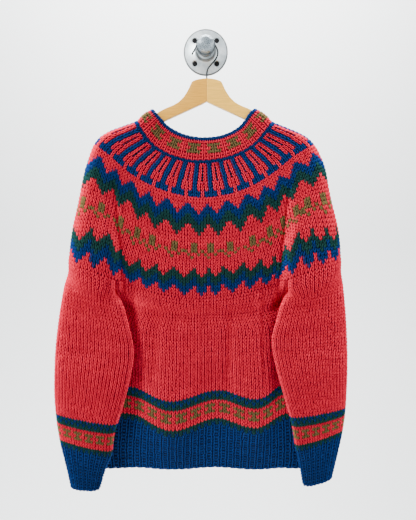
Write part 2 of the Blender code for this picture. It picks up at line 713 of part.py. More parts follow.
def arm_of_hanger(name, side, fold, material):
    """An arm sawn from a flat board, its hidden upper edge under the shoulder's fold."""
    order = np.argsort(side * fold[:, 0])
    top = list(HANGER_TOP)
    for reach in HANGER_REST:
        at = HANGER_X + side * reach
        ridge = np.interp(side * at, side * fold[order, 0], fold[order, 2])
        top.append((reach, ridge - WALL / 2 * 1.2 - HANGER_REST_GAP))
    top.append((HANGER_REACH, top[-1][1] - 6.0))
    top, under = np.array(top, float), np.array(HANGER_UNDER, float)
    nose = HANGER_REACH - HANGER_NOSE * (1 - np.sin(np.radians((0, 25, 50, 70, 84))))
    reaches = np.unique(np.concatenate(([FIT / 2], top[1:-1, 0], (147, 162, 178), nose)))
    points = []
    for reach in reaches:
        high = np.interp(reach, top[:, 0], top[:, 1])
        low = np.interp(reach, under[:, 0], under[:, 1])
        into = max(0.0, 1 - (HANGER_REACH - reach) / HANGER_NOSE)
        shrink = math.sqrt(1 - into**2)
        middle, tall = (high + low) / 2, (high - low) / 2 * shrink
        points += rounded_section(reach, side, middle + tall, middle - tall,
                                  HANGER_THICK * (0.45 + 0.55 * shrink))
    around = 12
    count = len(reaches)
    faces = [tuple(range(around)), tuple(range(count * around - 1, (count - 1) * around - 1, -1))]
    for ring in range(count - 1):
        for k in range(around):
            a, b = ring * around + k, ring * around + (k + 1) % around
            faces.append((a, a + around, b + around, b))
    return mesh_piece(name, points, faces, material)


def build_hanger(yoke):
    wood = finish("beech_varnished", (0.72, 0.44, 0.19), 0.45)
    steel = finish("hook_steel", (0.22, 0.23, 0.24), 0.35, 1.0)
    bore = turned_upright("hook_bore", HANGER_X, HANGER_Y, -57.5 - WIRE_DEEP, -50.0,
                          WIRE / 2 + FIT, wood)
    for side, name in ((-1, "hanger_arm_left"), (1, "hanger_arm_right")):
        fold = yoke[:, 0 if side < 0 else HALF_RING]
        cut(arm_of_hanger(name, side, fold, wood), bore)

    line = smoothed([(x, HANGER_Y, z) for x, z in HOOK_LINE], 38)
    tube("hanger_hook", line, WIRE / 2, steel)


def turned_upright(name, x, y, low, high, radius, material, sides=12):
    """A plain upright cylinder."""
    points = [(x + radius * math.cos(2 * math.pi * k / sides),
               y + radius * math.sin(2 * math.pi * k / sides), z)
              for z in (low, high) for k in range(sides)]
    faces = [tuple(range(sides - 1, -1, -1)), tuple(range(sides, 2 * sides))]
    faces += [(k, (k + 1) % sides, sides + (k + 1) % sides, sides + k) for k in range(sides)]
    return mesh_piece(name, points, faces, material)


def tube(name, line, radius, material, sides=8):
    """A round bar along a line that lies in a plane facing -Y."""
    points = []
    direction = np.gradient(line, axis=0)
    for centre, along in zip(line, direction):
        along = along / np.linalg.norm(along)
        beside = np.array((along[2], 0.0, -along[0]))
        for k in range(sides):
            angle = 2 * math.pi * k / sides
            points.append(centre + radius * (beside * math.cos(angle)
                                             + np.array((0, 1, 0)) * math.sin(angle)))
    count = len(line)
    faces = [tuple(range(sides - 1, -1, -1)), tuple(range((count - 1) * sides, count * sides))]
    for ring in range(count - 1):
        for k in range(sides):
            a, b = ring * sides + k, ring * sides + (k + 1) % sides
            faces.append((a, b, b + sides, a + sides))
    return mesh_piece(name, points, faces, material)


def build_wall_fitting():
    iron = finish("galvanised_iron", (0.56, 0.58, 0.6), 0.45, 0.9)
    dark = finish("screw_black", (0.05, 0.05, 0.055), 0.5, 0.8)

    bore = PIPE_RADIUS + FIT
    flange = turned("wall_flange", (
        (0, 0), (FLANGE_RADIUS - 1.0, 0), (FLANGE_RADIUS, 1.0),
        (FLANGE_RADIUS, FLANGE_EDGE - 1.2), (FLANGE_RADIUS - 1.4, FLANGE_EDGE),
        (HUB_RADIUS + 5.0, FLANGE_DISH), (HUB_RADIUS + 1.2, FLANGE_DISH + 2.5),
        (HUB_RADIUS, HUB_FRONT - 2.5), (HUB_RADIUS - 1.6, HUB_FRONT),
        (bore + 1.0, HUB_FRONT), (bore, HUB_FRONT - 1.0), (bore, FLANGE_FLOOR),
        (0, FLANGE_FLOOR)), iron)

    for k in range(4):
        angle = math.radians(45 + 90 * k)
        x, z = HOLE_CIRCLE * math.cos(angle), HOLE_CIRCLE * math.sin(angle)
        hole = turned("hole_%d" % (k + 1), (
            (0, -2), (HOLE_RADIUS, -2), (HOLE_RADIUS, 2.0), (SINK_RADIUS, 5.2),
            (SINK_RADIUS, 12), (0, 12)), dark, 14, (x, z))
        cut(flange, hole)
        turned("flange_screw_%d" % (k + 1), (
            (0, 0.2), (HOLE_RADIUS - FIT, 0.2), (HOLE_RADIUS - FIT, 2.0 + FIT / 2),
            (SINK_RADIUS - 1.5 * FIT, 4.9), (SINK_RADIUS - 2.2 * FIT, 5.4), (2.4, 5.6), (2.2, 4.2),
            (0, 4.2)), dark, 14, (x, z))

    threads = []
    out = HUB_FRONT + 1.5
    while out + THREAD_PITCH < CAP_BACK - 0.5:
        threads += [(PIPE_RADIUS - THREAD_DEPTH, out), (PIPE_RADIUS, out + THREAD_PITCH * 0.35),
                    (PIPE_RADIUS, out + THREAD_PITCH * 0.65)]
        out += THREAD_PITCH
    turned("pipe_nipple", [(PIPE_BORE, FLANGE_FLOOR + FIT), (PIPE_RADIUS, FLANGE_FLOOR + FIT),
                           (PIPE_RADIUS, HUB_FRONT + 0.9)]
           + threads + [(PIPE_RADIUS - THREAD_DEPTH, out), (PIPE_RADIUS, out + 0.8),
                        (PIPE_RADIUS, PIPE_END), (PIPE_BORE, PIPE_END)], iron)
    turned("pipe_cap", (
        (0, PIPE_END + FIT), (bore, PIPE_END + FIT), (bore, CAP_BACK + 0.8),
        (bore + 0.8, CAP_BACK), (CAP_RADIUS - 0.7, CAP_BACK), (CAP_RADIUS, CAP_BACK + 0.8),
        (CAP_RADIUS, CAP_BAND), (CAP_RADIUS - 1.6, CAP_BAND + 1.6),
        (CAP_RADIUS - 2.4, CAP_FRONT - 6.0), (CAP_RADIUS - 6.5, CAP_FRONT - 1.8),
        (6.0, CAP_FRONT), (0, CAP_FRONT)), iron)


remove_everything()
build_hanger(build_garment())
build_wall_fitting()
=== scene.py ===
"""The look of a hand-knit round-yoke pullover on a wooden hanger, hung from a pipe fitting.

Tables and working are in millimetres, meshes in metres.  The wall is the plane Y = 0, -Y
points out of it and +Z is up.
"""
import math

import bpy
import numpy as np
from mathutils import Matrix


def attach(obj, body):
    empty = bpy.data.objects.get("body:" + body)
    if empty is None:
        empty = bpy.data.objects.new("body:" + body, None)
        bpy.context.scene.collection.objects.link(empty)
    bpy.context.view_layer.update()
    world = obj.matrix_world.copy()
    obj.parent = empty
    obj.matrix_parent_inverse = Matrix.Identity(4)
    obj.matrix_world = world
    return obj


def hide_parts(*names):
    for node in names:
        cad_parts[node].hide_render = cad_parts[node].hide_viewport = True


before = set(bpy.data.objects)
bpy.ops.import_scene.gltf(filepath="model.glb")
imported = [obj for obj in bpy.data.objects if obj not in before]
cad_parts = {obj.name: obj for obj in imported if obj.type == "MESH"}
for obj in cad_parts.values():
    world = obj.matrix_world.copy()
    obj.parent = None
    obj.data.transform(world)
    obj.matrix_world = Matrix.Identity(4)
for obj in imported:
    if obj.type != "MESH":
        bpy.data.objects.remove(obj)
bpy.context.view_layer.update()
MM = 0.001                    # one millimetre in Blender's metres

# ---- the floor flange ------------------------------------------------------------------
# A plumber's round flange with a hub and four countersunk holes, cast of malleable iron and
# hot-dip galvanised: a dull pale skin with a faint spangle, and painted shade at its rim and hub.


def colour(code):
    """Linear RGBA of an sRGB hex value."""
    parts = [int(code[k:k + 2], 16) / 255 for k in (0, 2, 4)]
    return tuple(p / 12.92 if p <= 0.04045 else ((p + 0.055) / 1.055) ** 2.4
                 for p in parts) + (1.0,)


def add(material, kind, inputs=(), stops=(), **settings):
    """Add a node with its settings, its inputs as values or as other nodes' outputs, and the
    places and colours of its colour ramp."""
    node = material.node_tree.nodes.new("ShaderNode" + kind)
    for name, value in settings.items():
        setattr(node, name, value)
    for number, (place, tone) in enumerate(stops):
        elements = node.color_ramp.elements
        element = elements[number] if number < 2 else elements.new(place)
        element.position = place
        element.color = tone
    for name, value in dict(inputs).items():
        if isinstance(value, bpy.types.NodeSocket):
            material.node_tree.links.new(value, node.inputs[name])
        else:
            node.inputs[name].default_value = value
    return node


def new_material(name, roughness, metallic=0.0):
    """A material and its shader."""
    material = bpy.data.materials.new(name)
    material.use_nodes = True
    shader = material.node_tree.nodes["Principled BSDF"]
    shader.inputs["Roughness"].default_value = roughness
    shader.inputs["Metallic"].default_value = metallic
    return material, shader


def dress(piece, material, node):
    """Give a finished piece its material, and let it stand for a node of the model."""
    piece.data.materials.clear()
    piece.data.materials.append(material)
    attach(piece, "root")
    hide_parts(node)


def pick(piece):
    """Select one piece alone."""
    bpy.ops.object.select_all(action="DESELECT")
    piece.select_set(True)
    bpy.context.view_layer.objects.active = piece


def begun(name):
    """The primitive just added, named, in edit mode and selected all over."""
    piece = bpy.context.object
    piece.name = piece.data.name = name
    bpy.ops.object.transform_apply(location=True, rotation=True, scale=True)
    bpy.ops.object.mode_set(mode="EDIT")
    bpy.ops.mesh.select_all(action="SELECT")
    return piece


def turned(name, section, steps):
    """A solid turned round the pipe's axis from its section: radius, distance off the wall."""
    bpy.ops.object.select_all(action="DESELECT")
    bpy.ops.mesh.primitive_plane_add(size=MM)
    piece = begun(name)
    bpy.ops.mesh.merge(type="CENTER")
    place = (0.0, 0.0)
    for number, (radius, out) in enumerate(section):
        step = ((radius - place[0]) * MM, (place[1] - out) * MM, 0.0)
        if number:
            bpy.ops.mesh.extrude_region_move(TRANSFORM_OT_translate={"value": step})
        else:
            bpy.ops.transform.translate(value=step)
        place = (radius, out)
    bpy.ops.mesh.select_all(action="SELECT")
    bpy.ops.mesh.spin(steps=steps, angle=2 * math.pi, center=(0, 0, 0), axis=(0, 1, 0))
    bpy.ops.mesh.select_all(action="SELECT")
    bpy.ops.mesh.remove_doubles(threshold=0.01 * MM)
    bpy.ops.mesh.normals_make_consistent(inside=False)
    bpy.ops.object.mode_set(mode="OBJECT")
    return piece


def moved(piece, x, z):
    """Move a piece over the wall, within its mesh."""
    pick(piece)
    bpy.ops.object.mode_set(mode="EDIT")
    bpy.ops.mesh.select_all(action="SELECT")
    bpy.ops.transform.translate(value=(x * MM, 0.0, z * MM))
    bpy.ops.object.mode_set(mode="OBJECT")
    return piece


def twin(piece, name):
    """A copy of a piece with its own mesh."""
    copy = piece.copy()
    copy.data = piece.data.copy()
    copy.name = copy.data.name = name
    bpy.context.scene.collection.objects.link(copy)
    return copy


def cut(piece, tool):
    """Cut a tool's shape out of a piece."""
    pick(piece)
    boolean = piece.modifiers.new("cut", "BOOLEAN")
    boolean.object = tool
    bpy.ops.object.modifier_apply(modifier=boolean.name)
    bpy.data.objects.remove(tool)


def eased(piece, width, smooth=35.0, sharp=32.0, segments=2):
    """Break the edges that are sharper than one angle, and shade smooth up to another."""
    pick(piece)
    bevel = piece.modifiers.new("edges", "BEVEL")
    bevel.width = width * MM
    bevel.segments = segments
    bevel.angle_limit = math.radians(sharp)
    bpy.ops.object.modifier_apply(modifier=bevel.name)
    bpy.ops.object.shade_smooth_by_angle(angle=math.radians(smooth))
    return piece


SPANGLE = 2.4                 # zinc's crystals
CLOUD = 11.0                  # lighter and darker patches
GRIT = 1.4                    # the cast skin, drawn coarser than its sand so that it shows
ZINC_METALLIC = 0.72          # below 1, for the white rust on it
GRIT_DEPTH = 0.4
UNSHADED = (1.0, 1.0, 1.0, 1.0)


def galvanised_iron(name, weathered, fresh, roughness, radius, shade_rings):
    """Zinc whose tone wanders between two.  It is half matt, so the room shows in it only as
    soft patches.  The last table is painted shade: how much of the tone is left, by share of
    the piece's radius."""
    material, shader = new_material(name, roughness, ZINC_METALLIC)
    link = material.node_tree.links.new
    place = add(material, "TexCoord").outputs["Object"]
    spangle = add(material, "TexVoronoi", {"Vector": place, "Scale": 1 / (SPANGLE * MM)})
    cloud = add(material, "TexNoise", {"Vector": place, "Scale": 1 / (CLOUD * MM),
                                       "Detail": 4.0})
    tone = add(material, "ValToRGB", {"Fac": cloud.outputs["Fac"]},
               ((0.3, colour(weathered)), (0.72, colour(fresh))))
    fleck = add(material, "MapRange", {"Value": spangle.outputs["Distance"],
                                       "To Min": roughness - 0.1, "To Max": roughness + 0.1})
    grit = add(material, "TexNoise", {"Vector": place, "Scale": 1 / (GRIT * MM),
                                      "Detail": 3.0})
    relief = add(material, "Bump", {"Height": grit.outputs["Fac"], "Strength": 0.25,
                                    "Distance": GRIT_DEPTH * MM})
    # Painted shade: the tone darkened in rings by distance from the pipe's axis, as the last table
    # gives.
    flat = add(material, "VectorMath", {0: place, 1: (1.0, 0.0, 1.0)}, operation="MULTIPLY")
    out = add(material, "VectorMath", {0: flat.outputs[0]}, operation="LENGTH")
    share = add(material, "Math", {0: out.outputs["Value"], 1: radius * MM}, operation="DIVIDE")
    rings = add(material, "ValToRGB", {"Fac": share.outputs[0]}, shade_rings)
    shaded = add(material, "VectorMath", {0: tone.outputs["Color"], 1: rings.outputs["Color"]},
               operation="MULTIPLY")
    link(shaded.outputs[0], shader.inputs["Base Color"])
    link(fleck.outputs["Result"], shader.inputs["Roughness"])
    link(relief.outputs["Normal"], shader.inputs["Normal"])
    return material


# Sections of the turned pieces are given as radius, distance off the wall.
RIM = 44.5
FLANGE = ((0, 0), (43.5, 0), (RIM, 1.0), (RIM, 3.4), (43.6, 4.4), (40.0, 4.8), (25.5, 7.0),
          (22.0, 8.6), (20.6, 11.5), (20.0, 16.5), (18.8, 20.0), (14.5, 20.0), (13.7, 19.2),
          (13.7, 3.0), (0, 3.0))
FLANGE_STEPS = 96
# Painted shade: a dark ring on the hub's lip and a dark line round the flange's rim.
HUB_LIP_SHADE = (0.2, 0.2, 0.2, 1.0)
FLANGE_RIM_SHADE = (0.15, 0.15, 0.15, 1.0)
FLANGE_SHADE_RINGS = ((0.39, UNSHADED), (0.41, HUB_LIP_SHADE), (0.455, HUB_LIP_SHADE), (0.475, UNSHADED),
               (0.93, UNSHADED), (0.96, FLANGE_RIM_SHADE))
BOLT_CIRCLE = 31.0
HOLES = [(BOLT_CIRCLE * math.cos(math.radians(a)), BOLT_CIRCLE * math.sin(math.radians(a)))
         for a in (45, 135, 225, 315)]
COUNTERSINK = ((0, -2), (3.4, -2), (3.4, 2.0), (6.2, 5.6), (6.2, 12), (0, 12))
HOLE_STEPS = 32

iron = galvanised_iron("hot_dip_galvanised_iron", "c8d3d7", "f2f8fa", 0.4, RIM, FLANGE_SHADE_RINGS)
flange = turned("cast_wall_flange", FLANGE, FLANGE_STEPS)
for x, z in HOLES:
    cut(flange, moved(turned("countersink", COUNTERSINK, HOLE_STEPS), x, z))
dress(eased(flange, 0.4), iron, "wall_flange")

# ---- the pipe nipple -------------------------------------------------------------------
# A short piece of galvanised steel pipe, threaded at both ends and screwed into the hub.  The
# thread is cut through the zinc, so it is darker than the castings.

BORE = 10.5                   # radii
PIPE = 13.4
INNER_END = 3.3               # distances off the wall
OUTER_END = 48.0
PLAIN_START = 35.0
THREADS = 7
THREAD_START = 21.4
THREAD_PITCH = 1.8            # 14 threads to the inch
THREAD_DEPTH = 0.9
LAST_GROOVE = (12.6, 34.2)
PIPE_STEPS = 64

thread_iron = galvanised_iron("galvanised_thread", "6d767a", "a0abaf", 0.35, PIPE,
                              ((0.0, UNSHADED), (1.0, UNSHADED)))
nipple_section = [(BORE, INNER_END), (PIPE, INNER_END), (PIPE, THREAD_START - THREAD_PITCH / 3)]
for k in range(THREADS):
    start = THREAD_START + k * THREAD_PITCH
    nipple_section += [(PIPE - THREAD_DEPTH, start), (PIPE, start + 0.45 * THREAD_PITCH),
                       (PIPE, start + 0.6 * THREAD_PITCH)]
nipple_section += [LAST_GROOVE, (PIPE, PLAIN_START), (PIPE, OUTER_END), (BORE, OUTER_END),
                   (BORE, INNER_END)]
nipple = turned("threaded_nipple", nipple_section, PIPE_STEPS)
dress(eased(nipple, 0.1), thread_iron, "pipe_nipple")

# ---- the pipe cap ----------------------------------------------------------------------
# A cast iron cap screwed on the nipple: a round collar, and a dome with flats for a wrench.
# Its zinc is older and greyer than the flange's, with painted shade at the rim.

CAP_RADIUS = 18.5
CAP = ((0, 48.3), (13.7, 48.3), (13.7, 35.8), (14.5, 35.0), (17.8, 35.0), (CAP_RADIUS, 35.8),
       (CAP_RADIUS, 42.8), (17.3, 43.8), (0, 50.5))
DOME = ((0, 49.0), (15.5, 43.2), (17.2, 43.2), (16.9, 49.8), (15.0, 53.4), (11.0, 55.8),
        (5.5, 57.1), (0, 57.4))
CAP_FLATS = 12
FACET_ANGLE = 12.0            # shading that keeps the dome's flats apart
# Painted shade: the collar and the dome's edge darkened to a quarter of the tone.
CAP_RIM_SHADE = (0.25, 0.25, 0.25, 1.0)

cap_iron = galvanised_iron("weathered_galvanised_iron", "76828a", "b0bcc2", 0.3, CAP_RADIUS,
                           ((0.86, UNSHADED), (0.92, CAP_RIM_SHADE)))
cap = turned("domed_pipe_cap", CAP, PIPE_STEPS)
dome = turned("cap_dome", DOME, CAP_FLATS)
dress(eased(cap, 0.35), cap_iron, "pipe_cap")
dress(eased(dome, 0.3, smooth=FACET_ANGLE), cap_iron, "pipe_cap")

# ---- the flange's screws ---------------------------------------------------------------
# Four countersunk steel screws with a cross recess, phosphated: dull and nearly black, with a
# faint gleam on the head's edge.

SCREW = ((0, 0.2), (3.1, 0.2), (3.1, 2.1), (4.9, 4.1), (4.6, 4.6), (2.6, 4.9), (0, 5.0))
RECESS = (5.2, 2.4, 1.0)      # length, depth and width of each arm of the cross
RECESS_OUT = 4.6
RECESS_TURNS = (25, 115)

black, black_shader = new_material("black_phosphated_screw", 0.5, 0.6)
black_shader.inputs["Base Color"].default_value = colour("1b1b1d")
screw = turned("countersunk_screw", SCREW, HOLE_STEPS)
for turn in RECESS_TURNS:
    bpy.ops.object.select_all(action="DESELECT")
    bpy.ops.mesh.primitive_cube_add(size=MM)
    recess = begun("screw_recess")
    bpy.ops.transform.resize(value=RECESS, center_override=(0, 0, 0))
    bpy.ops.transform.rotate(value=math.radians(turn), orient_axis="Y",
                             center_override=(0, 0, 0))
    bpy.ops.transform.translate(value=(0, -RECESS_OUT * MM, 0))
    bpy.ops.object.mode_set(mode="OBJECT")
    cut(screw, recess)
eased(screw, 0.15)
for number, (x, z) in enumerate(HOLES, 1):
    dress(moved(twin(screw, "countersunk_screw_%d" % number), x, z), black,
          "flange_screw_%d" % number)
bpy.data.objects.remove(screw)

# ---- the hanger's arms -----------------------------------------------------------------
# Two arms sawn from beech board, butted at the middle, rounded over, sanded and varnished
# with a satin clear coat.

GRAIN = (28.0, 4.2, 2.1)      # a streak along the board, through it and across it


def beech(name, board, streak):
    """Varnished wood whose grain runs along the arm, under a thin coat that shines faintly."""
    material, shader = new_material(name, 0.42)
    link = material.node_tree.links.new
    place = add(material, "TexCoord").outputs["Object"]
    along = add(material, "Mapping", {"Vector": place,
                                      "Scale": [1 / (size * MM) for size in GRAIN]})
    streaks = add(material, "TexNoise", {"Vector": along.outputs["Vector"], "Scale": 1.0,
                                         "Detail": 6.0, "Distortion": 0.6})
    tone = add(material, "ValToRGB", {"Fac": streaks.outputs["Fac"]},
               ((0.3, colour(streak)), (0.65, colour(board))))
    relief = add(material, "Bump", {"Height": streaks.outputs["Fac"], "Strength": 0.2,
                                    "Distance": 0.2 * MM})
    link(tone.outputs["Color"], shader.inputs["Base Color"])
    link(relief.outputs["Normal"], shader.inputs["Normal"])
    shader.inputs["Specular IOR Level"].default_value = 0.2
    shader.inputs["Coat Weight"].default_value = 0.06
    shader.inputs["Coat Roughness"].default_value = 0.35
    return material


HANGER_X = 2.0
HANGER_Y = -27.0
BOARD = 12.0                  # thickness of the arms
ROUND_OVER = 2.4              # radius of their edges
FIRST_STRIP = 1.0             # the board is drawn out from this much of it, at the joint
# Reach from the joint, and height of the board's edge.
ARM_TOP = ((0, -57.5), (8, -58.0), (15, -59), (21, -60.3), (27, -62.5), (29.5, -64.8),
           (31, -67.5), (35, -76), (38, -81.4), (41, -86), (45.5, -92.5), (51, -98), (57, -103),
           (64, -107), (72, -110.5), (80, -113.5), (88, -117.2), (96, -121.5), (102, -125.9),
           (108, -131), (116, -138), (124, -143.5))
ARM_UNDER = ((0, -101), (50, -123), (100, -145), (150, -170), (198, -188))
# The outer part lies in the shoulder's fold and ends in a rounded nose: (reach, top, under).
ARM_ENDS = {
    "left": ((140, -144.5, -165), (154, -149, -171.5), (170, -154.4, -177.5),
             (186, -161.3, -183.5), (191, -164, -185), (195, -168.3, -184.3),
             (197, -171, -182.8), (198, -173.8, -181)),
    "right": ((140, -148.8, -165), (154, -154.4, -171.5), (170, -161.1, -177.5),
              (186, -168.6, -183.5), (191, -171, -185.2), (195, -174.8, -185),
              (197, -176.8, -184.3), (198, -178.7, -183.4)),
}


def arm(name, side, end):
    """A board drawn out section by section from the joint, sawn thick and rounded over."""
    under_knots, under_edge = zip(*ARM_UNDER)
    line = [(reach, top, np.interp(reach, under_knots, under_edge)) for reach, top in ARM_TOP]
    line += ARM_ENDS[end]
    bpy.ops.object.select_all(action="DESELECT")
    reach, top, under = line[0]
    middle_x = (HANGER_X + side * (reach + FIRST_STRIP / 2)) * MM
    middle = (middle_x, HANGER_Y * MM, (top + under) / 2 * MM)
    bpy.ops.mesh.primitive_plane_add(size=MM, location=middle, rotation=(math.radians(90), 0, 0))
    piece = begun(name)
    bpy.ops.transform.resize(value=(1, 1, top - under), center_override=middle)
    bpy.ops.mesh.select_all(action="DESELECT")
    bpy.ops.object.mode_set(mode="OBJECT")
    for vertex in piece.data.vertices:
        vertex.select = side * vertex.co.x > side * middle_x
    bpy.ops.object.mode_set(mode="EDIT")
    bpy.ops.mesh.select_mode(type="EDGE")
    last_reach, last_top, last_under = reach + FIRST_STRIP, top, under
    for reach, top, under in line[1:]:
        way = (side * (reach - last_reach) * MM, 0,
               ((top + under) - (last_top + last_under)) / 2 * MM)
        bpy.ops.mesh.extrude_region_move(TRANSFORM_OT_translate={"value": way})
        bpy.ops.transform.resize(
            value=(1, 1, (top - under) / (last_top - last_under)),
            center_override=((HANGER_X + side * reach) * MM, HANGER_Y * MM,
                             (top + under) / 2 * MM))
        last_reach, last_top, last_under = reach, top, under
    bpy.ops.mesh.select_mode(type="VERT")
    bpy.ops.object.mode_set(mode="OBJECT")
    sawn = piece.modifiers.new("sawn", "SOLIDIFY")
    sawn.thickness = BOARD * MM
    sawn.offset = 0
    bpy.ops.object.modifier_apply(modifier=sawn.name)
    bpy.ops.object.mode_set(mode="EDIT")
    bpy.ops.mesh.select_all(action="SELECT")
    bpy.ops.mesh.normals_make_consistent(inside=False)
    bpy.ops.object.mode_set(mode="OBJECT")
    return eased(piece, ROUND_OVER, smooth=40.0, sharp=50.0, segments=4)


dress(arm("sawn_arm_left", -1, "left"), beech("satin_varnished_beech_left", "d99d33", "c3892c"),
      "hanger_arm_left")
dress(arm("sawn_arm_right", 1, "right"), beech("satin_varnished_beech_right", "f0b848", "dca63e"),
      "hanger_arm_right")

# ---- the hanger's hook -----------------------------------------------------------------
# A drawn steel wire, bent cold to a hook and driven into the joint of the arms.  It is dark
# and dulled by handling, with a soft line of light along it.

WIRE = 3.0
WIRE_SIDES = 16
# The wire's line, from its free end into the wood.
HOOK = ((-27, -12), (-25.2, -8.3), (-22.5, -4.5), (-20.9, -1.1), (-19.2, 2.5), (-16.4, 6.9),
        (-12.5, 10.5), (-6.7, 13.9), (0, 15.2), (7, 13.9), (13, 10.8), (17.4, 6.8), (20.5, 2.0),
        (22.9, -2.9), (23.8, -8), (23.4, -12.6), (21.5, -17), (18.5, -21.9), (14.5, -26.5),
        (10.2, -30.9), (6.5, -35), (4.1, -38.9), (2.8, -43), (2.1, -47.4), (2, -52), (2, -62),
        (2, -73.2))


def bent_wire(name, line):
    """A round wire drawn along a line in the hanger's plane, its free end ground round."""
    points = np.array(line, float)
    ways = np.gradient(points, axis=0)
    heading = np.arctan2(ways[:, 0], ways[:, 1])
    bpy.ops.object.select_all(action="DESELECT")
    bpy.ops.mesh.primitive_circle_add(
        vertices=WIRE_SIDES, radius=WIRE / 2 * MM, fill_type="NGON",
        location=(points[0, 0] * MM, HANGER_Y * MM, points[0, 1] * MM),
        rotation=(0, heading[0], 0))
    piece = begun(name)
    for k in range(1, len(points)):
        step = (points[k] - points[k - 1]) * MM
        bpy.ops.mesh.extrude_region_move(
            TRANSFORM_OT_translate={"value": (step[0], 0, step[1])})
        turn = (heading[k] - heading[k - 1] + math.pi) % (2 * math.pi) - math.pi
        bpy.ops.transform.rotate(
            value=-turn, orient_axis="Y", orient_type="GLOBAL",
            center_override=(points[k, 0] * MM, HANGER_Y * MM, points[k, 1] * MM))
    bpy.ops.mesh.select_all(action="SELECT")
    bpy.ops.mesh.normals_make_consistent(inside=False)
    bpy.ops.object.mode_set(mode="OBJECT")
    return eased(piece, 0.5)


steel, steel_shader = new_material("dull_drawn_steel_wire", 0.4, 0.7)
steel_shader.inputs["Base Color"].default_value = colour("24282b")
dress(bent_wire("bent_wire_hook", HOOK), steel, "hanger_hook")

# ---- the yoke --------------------------------------------------------------------------
# Knitted round in stranded wool from the neck band outwards, in crimson, blue, bottle green
# and olive.  Each stitch is a V of two strands; the cloth under them is their hidden loops.

SKIN = 0.5                    # the ground under the stitches, out from the cloth's middle
LINING = -1.9                 # its inner side
SLEEVE_COLUMNS = 9
BODY_COLUMNS = 18
UNDERARM_COLUMNS = 4
HALF_RING = 2 * SLEEVE_COLUMNS + BODY_COLUMNS
YOKE_ROWS = 43
# The creases in front of the armpits, between body and sleeves, with the sleeve's roll
# beside each: a trough from one place to another, or a ridge where its depth is negative.
CREASES = (
    # top_x, top_z, low_x, low_z, half_width, depth
    (-184, -250, -169, -510, 6, 14.0),
    (-200, -265, -188, -500, 10, -3.5),
    (167, -250, 149, -510, 6, 14.0),
    (183, -265, 168, -500, 10, -3.5),
)
YOKE_STITCHES = 90            # in half of the round
BAR_ROWS = 12                 # rows of the upright bars below the neck band
# The dyes, and a near-black that is no dye but painted shade on the cloth deep in the gaps between
# the bars.
RED, BLUE, GREEN, OLIVE, GAP_SHADE = range(5)
YARNS = [colour(code) for code in ("e41f3f", "0a336e", "17423e", "74633c", "040f22")]

# The yoke's courses in the front view, (x, z), by knitted row from the neck seam down.
COURSES = {
    # row:  fold_l         sleeve_l       side_l         chest_l        centre
    #       chest_r        side_r         sleeve_r       fold_r
    0.0: ((-135, -139), (-121, -163), (-105, -183), (-61, -208), (-4, -216),
          (56, -205), (99, -180), (116, -160), (131, -141)),
    11.0: ((-217, -178), (-190, -199), (-153, -233), (-86, -268), (-5, -283),
           (74, -268), (132, -236), (172, -203), (211, -180)),
    17.0: ((-236, -222), (-197, -240), (-164, -266), (-98, -306), (-2, -322),
           (84, -303), (150, -265), (195, -231), (232, -217)),
    27.0: ((-255, -301), (-206, -312), (-170, -343), (-108, -378), (-4, -394),
           (88, -382), (158, -341), (197, -305), (250, -293)),
    33.5: ((-267, -352), (-192, -361), (-168, -400), (-104, -424), (-8, -433),
           (80, -421), (152, -403), (176, -364), (265, -350)),
    43.0: ((-277, -417), (-197, -445), (-168, -462), (-100, -484), (-8, -495),
           (78, -483), (151, -461), (180, -444), (273, -415)),
}
# Their depths: the fold's own, the sleeve's front, the body's front, the back, how far in
# from the fold the cloth is still turning, and how much farther out the back crease lies.
DEPTHS = {
    # row:   fold_y, sleeve_y, body_y, back_y, turn, back_out
    0.0: (-27.0, -43.0, -43.0, -11.0, 14.0, 0.0),
    11.0: (-27.5, -50.0, -50.0, -9.0, 19.0, 0.0),
    17.0: (-33.0, -59.0, -55.0, -8.0, 24.0, 4.0),
    27.0: (-40.0, -70.0, -58.0, -8.0, 28.0, 10.0),
    33.5: (-44.0, -77.0, -60.0, -9.0, 32.0, 18.0),
    43.0: (-48.0, -81.0, -57.0, -12.0, 34.0, 24.0),
}


def through(knots, values, wanted):
    """Smooth curve through values at rising knots, read at the wanted places."""
    knots = np.asarray(knots, float)
    values = np.asarray(values, float)
    wanted = np.clip(np.asarray(wanted, float), knots[0], knots[-1])
    step = np.diff(knots)
    slope = np.diff(values, axis=0) / step.reshape((-1,) + (1,) * (values.ndim - 1))
    tangent = np.empty_like(values)
    tangent[0], tangent[-1] = slope[0], slope[-1]
    for k in range(1, len(knots) - 1):
        before, after = step[k - 1], step[k]
        tangent[k] = (slope[k - 1] * after + slope[k] * before) / (before + after)
    span = np.clip(np.searchsorted(knots, wanted, side="right") - 1, 0, len(step) - 1)
    t = (wanted - knots[span]) / step[span]
    shape = t.shape + (1,) * (values.ndim - 1)
    t, h = t.reshape(shape), step[span].reshape(shape)
    return ((2 * t**3 - 3 * t**2 + 1) * values[span] + (t**3 - 2 * t**2 + t) * h * tangent[span]
            + (3 * t**2 - 2 * t**3) * values[span + 1] + (t**3 - t**2) * h * tangent[span + 1])


def lengths_along(points):
    """Distance of each point from the first, along the line of points."""
    return np.concatenate(([0.0], np.cumsum(np.linalg.norm(np.diff(points, axis=0), axis=1))))


def points_at(points, distances):
    """Points of a polyline at the given distances along it."""
    along = lengths_along(points)
    return np.stack([np.interp(distances, along, points[:, axis]) for axis in range(3)], axis=1)


def evenly(line, count):
    """That many steps of equal length along a line, without its last point."""
    return points_at(line, np.linspace(0, lengths_along(line)[-1], count + 1)[:-1])


def course(row):
    """The 9 positions and 6 depths of the yoke's course at a row."""
    rows = sorted(COURSES)
    spots = through(rows, [COURSES[r] for r in rows], [row])[0]
    depths = through(rows, [DEPTHS[r] for r in rows], [row])[0]
    return spots, depths


SIDE_BACK = 3.0               # how much less the body stands out beside the creases
TURN_STEPS = 12               # points of a course round a side fold, and between the two
FLAT_STEPS = 110


